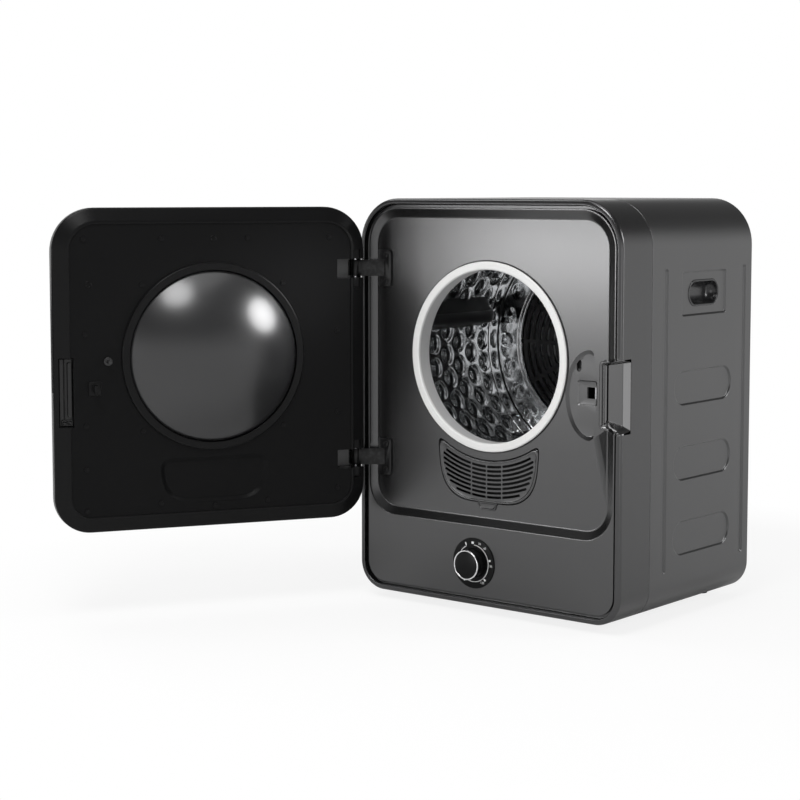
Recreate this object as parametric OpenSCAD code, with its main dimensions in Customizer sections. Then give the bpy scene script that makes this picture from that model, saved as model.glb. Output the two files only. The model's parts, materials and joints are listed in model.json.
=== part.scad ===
// Compact vented tumble dryer with its door standing open.
// Millimetres: X to the right, Y to the back, Z up, origin on the floor under the cabinet's middle.

/* [Cabinet] */
// Width over the cabinet sides
body_w = 464; // [444:2:500]
// Depth from the front crest to the rear edge of the cabinet
body_d = 356; // [346:2:400]
// Height from the floor to the cabinet top
body_h = 600; // [590:2:640]
// Height of the rubber feet
foot_h = 12; // [8:1:20]
// Radius of a foot
foot_r = 10; // [8:1:14]
// Radius of the two upper cabinet corners
corner_top = 68; // [60:1:76]
// Radius of the two lower cabinet corners
corner_low = 42; // [36:1:50]
// Thickness of the sheet metal
sheet = 1; // [0.8:0.1:1.5]
// Depth of the front frame, from the crest to the seam
frame_d = 78; // [60:1:84]
// How far the rear panel lies inside the rear edge
rear_sink = 6; // [4:1:10]

/* [Front] */
// Width of the rounded nose of the front frame
nose_w = 6; // [4:0.5:7]
// Width of the gap between the nose and the front panel
groove_w = 5; // [4:0.5:6]
// How far the front panel lies behind the crest
panel_sink = 5; // [4:0.5:7]
// Depth of the door well in the front panel
well_depth = 6; // [5:0.5:8]
// Width of the sloped wall round the well
well_slope = 14; // [10:1:16]
// Height of the lower edge of the well above the floor
well_low = 127; // [122:1:136]
// Corner radius at the bottom of the well
well_low_r = 50; // [44:1:54]

/* [Drum opening] */
// How far the drum axis lies above the middle of the door well
axis_rise = 17.5; // [12:0.5:22]
// Outer radius of the white opening ring
ring_r = 137; // [130:1:140]
// Width of the ring's front face
ring_face_w = 12; // [9:0.5:14]
// How far the ring stands out of the well floor
ring_out = 4; // [2:0.5:5]
// Depth of the ring's tube behind its front face
ring_d = 26; // [24:1:30]

/* [Drum] */
// Room between the drum and the cabinet top
drum_room = 31; // [28:1:40]
// Thickness of the drum sheet
drum_t = 0.8; // [0.6:0.1:1.2]
// Room behind the drum, to the rear edge of the cabinet
drum_back_room = 81; // [78:1:90]
// Width of the drum's rear wall round the slotted disc
disc_in = 45; // [40:1:60]
// Number of lifters
lifter_n = 3; // [2:1:4]
// Height of a lifter above the drum wall
lifter_h = 38; // [24:1:44]
// Width of a lifter at the drum wall
lifter_w = 52; // [40:1:64]
// Angle of the first lifter, from +X towards +Z
lifter_angle = 166; // [150:1:180]
// Radius of the drum shaft
shaft_r = 10; // [8:0.5:12]

/* [Door] */
// How far the door lies below the cabinet top
door_top_gap = 12; // [10:1:16]
// Corner radius at the top of the door
door_top_r = 62; // [56:1:70]
// Gap between the crest and the door's outer edge
door_gap = 5; // [4:0.5:7]
// Width of the bevelled inner rim
bevel_w = 20; // [16:1:22]
// Depth of the bevelled inner rim
bevel_d = 9; // [8:0.5:10]
// Depth of the door's side wall
door_side = 24; // [22:1:30]
// Wall thickness of the door shell
door_wall = 2.5; // [2:0.1:3]
// How far the liner lies below the inner rim
liner_sink = 2; // [1:0.5:3]
// Thickness of the liner
liner_t = 2.5; // [2:0.1:3]
// Gap between the dome and the inner edge of the opening ring
dome_gap = 1; // [1:0.5:6]
// Height of the dome above the liner
dome_h = 46; // [30:1:50]
// Radius of the window behind the door's outer skin
window_r = 112; // [100:1:118]
// Angle at which the door stands open here
door_open = 120; // [0:1:134]

/* [Hinges] */
// Distance of the hinge axis from the door's side
hinge_in = 8; // [7:0.5:9]
// Distance of the hinge axis in front of the crest
hinge_out = 20; // [19:0.5:22]
// Height of the lower hinge
hinge_low_z = 214; // [190:1:230]
// How far the upper hinge lies below the cabinet top
hinge_top_gap = 103; // [96:1:120]
// Height of a hinge plate
leaf_h = 54; // [44:1:60]
// Width of a hinge plate
leaf_w = 24; // [20:1:28]
// Height of the hinge arm
arm_h = 24; // [18:1:28]
// Thickness of the hinge arm
arm_t = 5; // [4:0.5:6]
// Radius of the hinge pin
pin_r = 2.5; // [2:0.1:3]

/* [Controls and latch] */
// Sideways place of the timer knob
knob_x = -20; // [-60:1:20]
// Height of the timer knob
knob_z = 73; // [66:1:80]
// Radius of the dial plate
dial_r = 37; // [32:1:42]
// Radius of the knob
knob_r = 22; // [18:1:25]
// Height of the knob
knob_h = 18; // [14:1:24]
// Distance of the latch hook from the cabinet's middle
hook_x = 174; // [166:1:176]
// Height of the latch hook
hook_z = 333; // [325:1:340]
// How far the switch pin lies outside the opening ring
switch_out = 18; // [13:1:20]
// Height of the switch pin
switch_z = 371; // [368:1:374]
// Height of the hand grip's middle
grip_z = 331; // [320:1:340]
// Length of the hand grip in the front frame
grip_len = 114; // [100:1:124]

/* [Lint filter] */
// Half width of the filter cover at its top
filter_top_x = 90; // [80:1:94]
// Half width of the filter cover at its bottom
filter_low_x = 82; // [74:1:88]
// Height of the filter cover's lower edge
filter_low_z = 163; // [160:1:168]
// How far the filter cover's lower corners are rounded off along each side
filter_round = 56; // [40:1:60]
// Gap between the opening ring and the filter cover
filter_gap = 13; // [8:0.5:15]
// Distance between the ribs that divide the slots
filter_rib = 27; // [20:1:32]
// Number of curved slot rows
slot_rows = 8; // [4:1:8]
// Spacing of the slot rows
slot_pitch = 6.4; // [6:0.1:7]

/* [Drive and air] */
// Sideways place of the motor axis
motor_x = 120; // [112:1:124]
// Height of the motor axis
motor_z = 88; // [84:1:94]
// Radius of the motor
motor_r = 46; // [38:1:48]
// Length of the motor
motor_len = 84; // [70:1:90]
// Radius of the belt pulley
pulley_r = 12; // [10:1:16]
// Width of the drive belt
belt_w = 10; // [6:1:14]
// Radius of the blower wheel
wheel_r = 54; // [46:1:56]
// How far the heater box reaches below the drum axis
heater_down = 158; // [150:1:162]
// How far the heater box reaches above the drum axis
heater_up = 128; // [120:1:140]
// Half the length of the heater's coil frame
coil_x = 77; // [60:1:84]
// Height of the heater's coil frame
coil_h = 34; // [26:1:44]
// Depth of the heater's coil frame
coil_d = 40; // [40:1:42]
// Radius of the exhaust spigot
spigot_r = 38.5; // [34:0.5:39]
// Sideways place of the exhaust spigot
spigot_x = 166; // [165:0.5:168]
// Height of the exhaust spigot
spigot_z = 182; // [178:1:184]
// How far the exhaust spigot stands out behind the cabinet
spigot_out = 38; // [25:1:60]

/* [Side panels] */
// Length of a pressed oblong field
field_len = 160; // [120:1:170]
// Height of a pressed oblong field
field_h = 50; // [40:1:56]
// Height of the lowest field's middle
field_low_z = 116; // [106:1:122]
// Distance between the oblong fields
field_pitch = 108; // [100:1:110]
// Depth of the forms pressed into the side
press_h = 2; // [1:0.5:3]
// Width of an upright bead
bead_w = 8; // [6:1:12]
// Length of the side grip plate
side_plate_len = 124; // [110:1:130]
// Height of the side grip plate
side_plate_h = 64; // [56:1:70]
// Height of the side grip plate's middle
side_plate_z = 466; // [455:1:480]
// Length of the finger pocket
pocket_len = 82; // [70:1:90]
// Height of the finger pocket
pocket_h = 36; // [28:1:40]
// Depth of the finger pocket
pocket_d = 14; // [10:1:16]

/* [Hidden] */
$fn = 96;
// Clearance between still pieces, between sliding pieces and in a bearing
seat = 0.3;
slide = 0.4;
running = 0.05;
// Planes from the front to the back
crest_y = -body_d / 2;
back_y = body_d / 2;
seam_y = crest_y + frame_d;
panel_y = crest_y + panel_sink;
floor_y = panel_y + well_depth;
floor_back = floor_y + sheet;
ring_y = floor_y - ring_out;
ring_back = ring_y + ring_d;
door_edge_y = crest_y - door_gap;
door_crest_y = door_edge_y + bevel_d;
liner_y = door_crest_y - liner_sink;
door_front_y = door_edge_y - door_side;
rear_y = back_y - rear_sink;
// Front panel and well
panel_in = nose_w + 2 + groove_w;
well_in = panel_in + 1;
well_x = body_w / 2 - well_in;
well_top = body_h - well_in;
well_top_r = corner_top - well_in;
well_floor_x = well_x - well_slope;
// Drum
switch_x = ring_r + switch_out;
axis_z = (well_low + well_top) / 2 + axis_rise;
drum_r = body_h - axis_z - drum_room;
disc_r = drum_r - disc_in;
drum_front = ring_back + 5;
drum_rear = back_y - drum_back_room;
collar_r = ring_r - ring_face_w + 7;
bulkhead_y = drum_rear + 15;
bracket_y = bulkhead_y + sheet;
// Door
door_w = body_w;
door_low = well_low - 1;
door_top = body_h - door_top_gap;
door_low_r = well_low_r + 2;
dome_r = ring_r - ring_face_w - dome_gap;
hinge_top_z = body_h - hinge_top_gap;
hinge_x = -door_w / 2 + hinge_in;
hinge_y = crest_y - hinge_out;
skin_y = door_front_y + 2;
// Hinge arm from the pin to the plate
leaf_x0 = -well_floor_x + 2;
arm_end = [leaf_x0 + leaf_w * 0.45, floor_y - 2.4];
arm_dx = arm_end[0] - hinge_x;
arm_dy = arm_end[1] - hinge_y;
arm_len = norm([arm_dx, arm_dy]);
arm_angle = atan2(arm_dy, arm_dx);
eye_r = pin_r + 3;
slot_h = arm_h + 4;
slot_x1 = arm_end[0] + 3;
// Base
base_z = foot_h + sheet;
tray_z = base_z + sheet;
tray_x = body_w / 2 - corner_low - 2;
// The feet as [x, y]: the front pair stands further in than the rear pair
feet_at = [[-tray_x + 44, crest_y + 108], [tray_x - 44, crest_y + 108], [-tray_x + 22, back_y - 20],
    [tray_x - 22, back_y - 20]];
// Drive
motor_y0 = -20;
pulley_y = -50;
plenum_y = motor_y0 + motor_len + 8;
blower_y0 = drum_rear + 7;
blower_y1 = blower_y0 + 46;
scroll_r = wheel_r + 8;
outlet_x0 = spigot_x - spigot_r - 1;
outlet_x1 = spigot_x + spigot_r + 1;
outlet_top = spigot_z + spigot_r + 4;
duct_x0 = knob_x + 32;
duct_x1 = motor_x - motor_r - 8;
duct_z0 = tray_z + 25;
duct_z1 = 100;
heater_x = outlet_x0 - 5;
heater_low = axis_z - heater_down;
heater_top = axis_z + heater_up;
heater_d = 52;

// Shared forms

// A flat form drawn as seen from the front, filling the depth from y0 to y1
module slab(y0, y1) {
    translate([0, y1, 0]) rotate([90, 0, 0]) linear_extrude(height = y1 - y0) children();
}

// A round bar along Y
module bar_y(r, y0, y1, x = 0, z = 0) {
    translate([x, y1, z]) rotate([90, 0, 0]) cylinder(r = r, h = y1 - y0);
}

// A round tube along Y
module tube_y(r_out, r_in, y0, y1, x = 0, z = 0) {
    difference() {
        bar_y(r_out, y0, y1, x, z);
        bar_y(r_in, y0 - 1, y1 + 1, x, z);
    }
}

// A box given by its two corners
module block(a, b) {
    translate(a) cube([b[0] - a[0], b[1] - a[1], b[2] - a[2]]);
}

// A rectangle with one radius at its upper and one at its lower corners, seen from the front
module outline(w, z0, z1, rt, rb) {
    translate([-w / 2, z0 + rb]) square([w, z1 - z0 - rt - rb]);
    translate([-w / 2 + rt, z1 - rt]) square([w - 2 * rt, rt]);
    translate([-w / 2 + rb, z0]) square([w - 2 * rb, rb]);
    for (s = [-1, 1]) {
        translate([s * (w / 2 - rt), z1 - rt]) circle(r = rt);
        translate([s * (w / 2 - rb), z0 + rb]) circle(r = rb);
    }
}

// The cabinet's front outline, moved in by an inset
module body_outline(inset) {
    outline(body_w - 2 * inset, foot_h + inset, body_h - inset, corner_top - inset, corner_low - inset);
}

// The door's outline, moved in by an inset
module door_outline(inset) {
    outline(door_w - 2 * inset, door_low + inset, door_top - inset, door_top_r - inset, door_low_r - inset);
}

// A section carried round a rounded rectangle: each point is [inset, y]
module rim(w, z0, z1, rt, rb, points) {
    section = [for (p = points) [p[0], -p[1]]];
    rotate([90, 0, 0]) {
        for (s = [0, 1]) mirror([s, 0, 0]) {
            translate([w / 2, z1 - rt, 0]) rotate([90, 0, 0])
                linear_extrude(height = z1 - z0 - rt - rb) mirror([1, 0]) polygon(section);
            translate([w / 2 - rt, z1 - rt, 0])
                rotate_extrude(angle = 90) translate([rt, 0]) mirror([1, 0]) polygon(section);
            translate([w / 2 - rb, z0 + rb, 0]) rotate([0, 0, -90])
                rotate_extrude(angle = 90) translate([rb, 0]) mirror([1, 0]) polygon(section);
        }
        translate([rt - w / 2, z1, 0]) rotate([90, 0, 90])
            linear_extrude(height = w - 2 * rt) mirror([1, 0]) polygon(section);
        translate([rb - w / 2, z0, 0]) rotate([90, 0, 90])
            linear_extrude(height = w - 2 * rb) polygon(section);
    }
}

module body_rim(points) {
    rim(body_w, foot_h, body_h, corner_top, corner_low, points);
}

module door_rim(points) {
    rim(door_w, door_low, door_top, door_top_r, door_low_r, points);
}

// An oblong with round ends, its length along the first axis
module oblong(len, h) {
    r = h / 2;
    translate([r - len / 2, -r]) square([len - h, h]);
    for (s = [-1, 1]) translate([s * (len / 2 - r), 0]) circle(r = r);
}

// A form drawn on the right side panel as [y, z], filling x0 to x1
module on_side(x0, x1) {
    translate([x0, 0, 0]) rotate([90, 0, 90]) linear_extrude(height = x1 - x0) children();
}

// The same on both sides of the cabinet
module both_sides() {
    for (s = [0, 1]) mirror([s, 0, 0]) children();
}

// The door and what it carries, turned about the hinge axis from closed to open
module on_door() {
    translate([hinge_x, hinge_y, 0]) rotate([0, 0, -door_open]) translate([-hinge_x, -hinge_y, 0]) children();
}

// Both hinge heights
module at_hinges() {
    for (z = [hinge_low_z, hinge_top_z]) translate([0, 0, z]) children();
}

// Points of a polygon with its corners rounded, r being the cut-back along each side
function unit(v) = v / norm(v);
function rounded(p, r, n = 6) = [for (i = [0:len(p) - 1])
    let (v = p[i], a = v + r[i] * unit(p[(i + len(p) - 1) % len(p)] - v), b = v + r[i] * unit(p[(i + 1) % len(p)] - v))
    for (t = r[i] > 0 ? [0:1 / n:1] : [0]) (1 - t) * (1 - t) * a + 2 * t * (1 - t) * v + t * t * b];

// Outline of the filter cover: its top follows the ring, g makes it larger all round
function filter_top_r(g) = ring_r + filter_gap - g;
filter_side = unit([filter_top_x - filter_low_x,
    axis_z - sqrt(pow(filter_top_r(0), 2) - pow(filter_top_x, 2)) - filter_low_z]);
// A point of the slanted side moved out by g, and its lower and upper end
function filter_at(g, t) = [filter_low_x + filter_side[1] * g + filter_side[0] * t,
    filter_low_z - filter_side[0] * g + filter_side[1] * t];
function filter_low(g) = filter_at(g, g * (filter_side[0] - 1) / filter_side[1]);
function filter_high(g) = let (q = filter_at(g, 0) - [0, axis_z], b = q * filter_side)
    filter_at(g, -b - sqrt(b * b - q * q + pow(filter_top_r(g), 2)));
module filter_form(g) {
    low = filter_low(g);
    high = filter_high(g);
    turn = asin(high[0] / filter_top_r(g));
    arc = [for (k = [1:11]) turn * (1 - k / 6)];
    polygon(rounded(concat([[-high[0], high[1]], [-low[0], low[1]], low, high],
        [for (a = arc) [filter_top_r(g) * sin(a), axis_z - filter_top_r(g) * cos(a)]]),
        concat([10, filter_round, filter_round, 10], [for (a = arc) 0]), 12));
}

// Outline of the field round the latch: half an ellipse closed by an upright line
latch_x = well_floor_x - 16;
latch_w = latch_x - ring_r + 4;
latch_h = 64;
latch_z = 330;
function latch_edge(g) = concat(
    [for (a = [90:7.5:270]) [latch_x - 12 + (latch_w - 12 + g) * cos(a), latch_z + (latch_h + g) * sin(a)]],
    [[latch_x + g, latch_z - latch_h + 14], [latch_x + g, latch_z + latch_h - 14]]);

// Screw places on the door liner, as [x from the door's middle, z]
liner_x = door_w / 2 - 44;
liner_turn = dome_r + 24;
liner_points = [
    for (x = [12 - liner_x, -52, 76, liner_x]) [x, door_top - 44],
    for (z = [door_low + 46, door_low + 160, door_low + 280]) [-liner_x, z],
    for (z = [door_low + 32, door_low + 92, door_low + 154, door_low + 284]) [liner_x - 1, z],
    for (a = [45:90:315]) [liner_turn * cos(a), axis_z + liner_turn * sin(a)],
    [-80, door_low + 34], [80, door_low + 38], [0, door_low + 30]];

// Cabinet

module cabinet_shell() {
    color([0.36, 0.36, 0.37]) difference() {
        union() {
            body_rim([[0, seam_y], [sheet, seam_y], [sheet, back_y], [0, back_y]]);
            body_rim([[sheet - 0.5, rear_y - sheet], [18, rear_y - sheet], [18, rear_y], [sheet - 0.5, rear_y]]);
            both_sides() side_forms(body_w / 2 - press_h - sheet, body_w / 2 - 0.5, 3);
        }
        both_sides() side_forms(body_w / 2 - press_h, body_w / 2 + 1, 0);
        both_sides() on_side(body_w / 2 - press_h - sheet - 1, body_w / 2 + 1)
            translate([side_mid_y, side_plate_z]) oblong(pocket_len + 1, pocket_h + 1);
        rear_points() bar_y(2, rear_y - 5, rear_y + 5);
        for (p = feet_at)
            translate([p.x, p.y, foot_h - 1]) cylinder(r = 5, h = sheet + 2);
    }
}

side_mid_y = (seam_y + back_y) / 2 + 2;
bead_y = [seam_y + 37, back_y - 22];
// The beads, oblong fields and grip field of the right side, from x0 to x1, wider by g
module side_forms(x0, x1, g) {
    bead_low = foot_h + corner_low + 18;
    bead_top = body_h - corner_top - 30;
    for (y = bead_y) on_side(x0, x1)
        translate([y, (bead_low + bead_top) / 2]) rotate(90) oblong(bead_top - bead_low + g, bead_w + g);
    for (i = [0:2]) on_side(x0, x1)
        translate([side_mid_y, field_low_z + i * field_pitch]) oblong(field_len + g, field_h + g);
    on_side(x0, x1) translate([side_mid_y, side_plate_z])
        square([side_plate_len + g, side_plate_h + g], center = true);
}

module front_frame() {
    color([0.35, 0.35, 0.36]) difference() {
        body_rim([[0, seam_y - seat], [0, crest_y + 10], [nose_w / 3, crest_y + 4], [nose_w, crest_y],
            [nose_w + 2, crest_y], [nose_w + 2, crest_y + 10], [panel_in + 7, crest_y + 10],
            [panel_in + 7, crest_y + 12], [nose_w, crest_y + 12], [nose_w, crest_y + 4],
            [nose_w / 3 + 2, crest_y + 7], [2.5, crest_y + 11], [2.5, seam_y - 6], [4, seam_y - 4],
            [4, seam_y + 8], [sheet + seat, seam_y + 8], [sheet + seat, seam_y - seat]]);
        grip_cut(0);
    }
}

// The notch for the fingers at the right of the front frame, g larger all round
grip_x = well_floor_x - 6;
grip_floor = crest_y + 16;
module grip_cut(g) {
    block([grip_x - g, crest_y - 5, grip_z - grip_len / 2 - g],
        [body_w / 2 + 5, grip_floor + g, grip_z + grip_len / 2 + g]);
}

module front_panel() {
    wall = sheet;
    color([0.46, 0.46, 0.47]) difference() {
        union() {
            rim(body_w - 2 * panel_in, foot_h + panel_in, body_h - panel_in, corner_top - panel_in,
                corner_low - panel_in, [[0, panel_y], [wall, panel_y], [wall, crest_y + 10 - seat],
                [0, crest_y + 10 - seat]]);
            slab(panel_y, panel_y + wall) difference() {
                body_outline(panel_in);
                outline(2 * well_x, well_low, well_top, well_top_r, well_low_r);
            }
            rim(2 * well_x, well_low, well_top, well_top_r, well_low_r,
                [[-0.5, panel_y], [0, panel_y], [well_slope, floor_y], [well_slope + 1, floor_y],
                [well_slope + 1, floor_back], [well_slope - 0.6, floor_back], [-0.5, panel_y + wall]]);
            slab(floor_y, floor_back)
                outline(2 * well_floor_x, well_low + well_slope, well_top - well_slope,
                    well_top_r - well_slope, well_low_r - well_slope);
        }
        bar_y(ring_r - 6, floor_y - 5, floor_back + 5, 0, axis_z);
        slab(floor_y - 5, floor_back + 5) filter_form(slide);
        slab(floor_y - 5, floor_back + 5) polygon(latch_edge(0));
        bar_y(5, panel_y - 5, panel_y + 5, knob_x, knob_z);
        hinge_points() bar_y(2.2, floor_y - 5, floor_y + 5);
        grip_cut(0.5);
    }
}

module frame_grip() {
    wall = 2;
    color([0.33, 0.33, 0.34]) difference() {
        block([grip_x + seat, panel_y, grip_z - grip_len / 2 + seat],
            [body_w / 2 - seat, grip_floor - seat, grip_z + grip_len / 2 - seat]);
        block([grip_x + wall + 5, crest_y - 5, grip_z - grip_len / 2 + wall + 4],
            [body_w / 2 + 5, grip_floor - seat - wall, grip_z + grip_len / 2 - wall - 4]);
    }
}

module rear_panel() {
    color([0.5, 0.5, 0.51]) difference() {
        slab(rear_y, rear_y + sheet) body_outline(sheet + seat);
        bar_y(spigot_r + seat, rear_y - 5, rear_y + 5, spigot_x, spigot_z);
        bar_y(9, rear_y - 5, rear_y + 5, -spigot_x, foot_h + 60);
        slab(rear_y - 5, rear_y + 5) for (x = [-120, 0, 120], i = [0:7])
            translate([x, axis_z - 60 + i * 16]) oblong(90, 4);
        slab(rear_y - 5, rear_y + 5) for (i = [0:3])
            translate([-40, foot_h + 45 + i * 16]) oblong(120, 4);
        rear_points() bar_y(2, rear_y - 5, rear_y + 5);
    }
}

module rear_points() {
    for (s = [-1, 1], z = [foot_h + corner_low + 20, axis_z, body_h - corner_top - 20])
        translate([s * (body_w / 2 - 12), 0, z]) children();
    for (s = [-1, 1]) translate([s * (body_w / 2 - corner_top - 40), 0, body_h - 12]) children();
}

module rear_screws() {
    color([0.62, 0.62, 0.63]) rear_points() difference() {
        union() {
            bar_y(4, rear_y + sheet, rear_y + sheet + 2);
            bar_y(1.8, rear_y - 4, rear_y + sheet + 1);
        }
        block([-3, rear_y + sheet + 1, -0.4], [3, rear_y + sheet + 3, 0.4]);
    }
}

module base_tray() {
    color([0.55, 0.55, 0.55]) difference() {
        union() {
            block([-tray_x, seam_y + 12, base_z], [tray_x, rear_y - 2, tray_z]);
            block([-tray_x, seam_y + 12, base_z], [tray_x, seam_y + 12 + sheet, base_z + 18]);
            block([-tray_x, rear_y - 2 - sheet, base_z], [tray_x, rear_y - 2, base_z + 18]);
        }
        for (p = feet_at)
            translate([p.x, p.y, base_z - 1]) cylinder(r = 5, h = sheet + 2);
    }
}

module feet() {
    color([0.08, 0.08, 0.08]) for (p = feet_at)
        translate([p.x, p.y, 0]) {
            cylinder(r1 = foot_r - 2, r2 = foot_r, h = 4);
            translate([0, 0, 4]) cylinder(r = foot_r, h = foot_h - 4);
            cylinder(r = 4.6, h = tray_z + 5);
        }
}

module side_grips() {
    x1 = body_w / 2 - press_h;
    color([0.38, 0.38, 0.39]) both_sides() {
        difference() {
            union() {
                on_side(x1 - pocket_d, x1) translate([side_mid_y, side_plate_z]) oblong(pocket_len, pocket_h);
                on_side(x1 - sheet - 2, x1 - sheet - 0.01)
                    translate([side_mid_y, side_plate_z]) oblong(pocket_len + 12, pocket_h + 10);
            }
            on_side(x1 - pocket_d + 1.5, x1 + 1)
                translate([side_mid_y, side_plate_z]) oblong(pocket_len - 3, pocket_h - 3);
        }
        translate([x1 - 5, side_mid_y - pocket_len / 2 + 1, side_plate_z + 8]) rotate([-90, 0, 0])
            cylinder(r = 4, h = pocket_len - 2);
    }
}

module cord_gland() {
    color([0.09, 0.09, 0.09]) translate([-spigot_x, 0, foot_h + 60]) {
        difference() {
            union() {
                bar_y(8.8, rear_y - 6, rear_y + sheet);
                bar_y(12, rear_y + sheet, rear_y + sheet + 3);
                bar_y(12, rear_y - 4, rear_y - 0.01);
            }
            bar_y(4.5, rear_y - 10, rear_y + 10);
        }
    }
}

// Drum opening and bearings

module opening_ring() {
    r_in = ring_r - ring_face_w;
    color([0.92, 0.92, 0.91]) difference() {
        union() {
            bar_y(ring_r, ring_y, floor_y, 0, axis_z);
            bar_y(r_in + 3, ring_y, ring_back, 0, axis_z);
        }
        bar_y(r_in, ring_y - 5, ring_back + 5, 0, axis_z);
    }
}

module drum_felt() {
    color([0.3, 0.3, 0.29]) tube_y(collar_r - slide, ring_r - ring_face_w + 3.1, ring_back - 14, ring_back - 1, 0, axis_z);
}

module rear_felt() {
    color([0.3, 0.3, 0.29]) tube_y(drum_r - 12, disc_r + 8, drum_rear + slide, bulkhead_y, 0, axis_z);
}

module rear_bulkhead() {
    notch_z = outlet_top + 6;
    color([0.6, 0.6, 0.6]) difference() {
        slab(bulkhead_y, bulkhead_y + sheet) difference() {
            body_outline(press_h + sheet + seat);
            translate([-body_w, 0]) square([2 * body_w, motor_z + scroll_r + 10]);
            translate([outlet_x0 - 3, 0]) square([body_w, notch_z]);
        }
        bar_y(112, bulkhead_y - 5, bulkhead_y + 5, 0, axis_z);
    }
}

module bearing_bracket() {
    color([0.5, 0.5, 0.52]) difference() {
        union() {
            block([-heater_x + 4, bracket_y, axis_z - 22], [heater_x - 4, bracket_y + 4, axis_z + 22]);
            bar_y(shaft_r + 12, bracket_y, bracket_y + 26, 0, axis_z);
        }
        bar_y(shaft_r + 5, bracket_y - 5, bracket_y + 30, 0, axis_z);
    }
}

module shaft_bush() {
    color([0.72, 0.55, 0.3]) tube_y(shaft_r + 4.97, shaft_r + running, bracket_y, bracket_y + 26, 0, axis_z);
}

// Drum

module drum_shell() {
    r = drum_r;
    t = drum_t;
    points = [[collar_r, drum_front - 13], [collar_r + t, drum_front - 13], [collar_r + t, drum_front - t],
        [r, drum_front - t], [r, drum_rear], [disc_r - 3, drum_rear], [disc_r - 3, drum_rear - t],
        [r - t, drum_rear - t], [r - t, drum_front], [collar_r, drum_front]];
    color([0.72, 0.73, 0.74]) translate([0, 0, axis_z]) rotate([-90, 0, 0])
        rotate_extrude() polygon(points);
}

// A lifter's outer form, or with g its hollow inside
module lifter_form(wall, g) {
    slab(drum_front + 14 + g, drum_rear - drum_t - seat - g) union() {
        polygon([[wall - lifter_h + 10, g - 9], [wall + 5, g - lifter_w / 2 - 2],
            [wall + 5, lifter_w / 2 + 2 - g], [wall - lifter_h + 10, 9 - g]]);
        translate([wall - lifter_h + 10, 0]) circle(r = 10 - g);
    }
}

module drum_lifters() {
    wall = drum_r - drum_t - 0.1;
    color([0.12, 0.12, 0.12]) for (i = [0:lifter_n - 1])
        translate([0, 0, axis_z]) rotate([0, -lifter_angle - i * 360 / lifter_n, 0]) difference() {
            intersection() {
                lifter_form(wall, 0);
                bar_y(wall, drum_front, drum_rear);
            }
            lifter_form(wall, 2.5);
        }
}

// The slotted disc that closes the drum's back
module drum_disc() {
    hub = shaft_r + 32;
    y0 = drum_rear + 0.01;
    color([0.13, 0.13, 0.14]) difference() {
        bar_y(disc_r, y0, y0 + 3, 0, axis_z);
        slab(y0 - 1, y0 + 4) translate([0, axis_z]) difference() {
            for (r = [hub:12:disc_r - 18]) difference() {
                circle(r = r + 5);
                circle(r = r);
            }
            for (a = [0:30:150]) rotate(a) square([2 * disc_r, 7], center = true);
        }
    }
}

module drum_shaft() {
    y0 = drum_rear + 3.01;
    color([0.7, 0.7, 0.72]) {
        bar_y(shaft_r + 26, y0, y0 + 5, 0, axis_z);
        bar_y(shaft_r, y0, bracket_y + 32, 0, axis_z);
        bar_y(shaft_r + 4, bracket_y + 26 + slide, bracket_y + 29, 0, axis_z);
    }
}

// Hot air

module heater_box() {
    t = 1.2;
    y0 = bulkhead_y + sheet;
    color([0.66, 0.66, 0.67]) difference() {
        block([-heater_x, y0, heater_low], [heater_x, y0 + heater_d, heater_top]);
        block([-heater_x + t, y0 - 1, heater_low + t], [heater_x - t, y0 + heater_d - t, heater_top - t]);
        block([3 - coil_x, y0 + 6, heater_low - 1], [coil_x - 3, y0 + heater_d - 8, heater_low + t + 1]);
    }
}

module heater_block() {
    y0 = bulkhead_y + sheet + 5;
    z0 = heater_low + 1.2;
    color([0.75, 0.72, 0.68]) {
        for (s = [-1, 1]) translate([s * (coil_x + 1), y0 + coil_d / 2, z0 + coil_h / 2])
            cube([5, coil_d, coil_h], center = true);
        for (i = [0:4]) block([-coil_x, y0 + 1 + i * 8, z0], [coil_x, y0 + 3.5 + i * 8, z0 + coil_h]);
    }
}

module thermostats() {
    color([0.2, 0.2, 0.2]) for (x = [-46, 46]) {
        bar_y(10, bulkhead_y + sheet + heater_d, bulkhead_y + sheet + heater_d + 3, x, axis_z + 60);
        block([x - 3, bulkhead_y + sheet + heater_d + 1, axis_z + 48], [x + 3, bulkhead_y + sheet + heater_d + 2, axis_z + 52]);
    }
}

// Motor, belt and blower

module motor_body() {
    color([0.45, 0.46, 0.48]) difference() {
        union() {
            bar_y(motor_r, motor_y0, motor_y0 + motor_len, motor_x, motor_z);
            bar_y(motor_r - 14, motor_y0 - 6, motor_y0 + motor_len + 4, motor_x, motor_z);
        }
        bar_y(5 + running, motor_y0 - 10, motor_y0 + motor_len + 10, motor_x, motor_z);
    }
}

module motor_cradle() {
    color([0.52, 0.52, 0.52]) difference() {
        for (y = [motor_y0 + 6, motor_y0 + motor_len - 14])
            block([motor_x - motor_r - 5, y, tray_z], [motor_x + motor_r + 5, y + 8, motor_z - 10]);
        bar_y(motor_r + 0.02, motor_y0 - 20, motor_y0 + motor_len + 20, motor_x, motor_z);
    }
}

module motor_shaft() {
    color([0.7, 0.7, 0.72]) bar_y(5, pulley_y - belt_w / 2 - 6, blower_y1 - 8, motor_x, motor_z);
}

module motor_pulley() {
    y0 = pulley_y - belt_w / 2;
    y1 = pulley_y + belt_w / 2;
    color([0.3, 0.3, 0.3]) difference() {
        union() {
            bar_y(pulley_r, y0 - 3, y1 + 3, motor_x, motor_z);
            bar_y(pulley_r + 5, y0 - 3, y0 - 1, motor_x, motor_z);
            bar_y(pulley_r + 5, y1 + 1, y1 + 3, motor_x, motor_z);
        }
        bar_y(5.02, y0 - 5, y1 + 5, motor_x, motor_z);
    }
}

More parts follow.
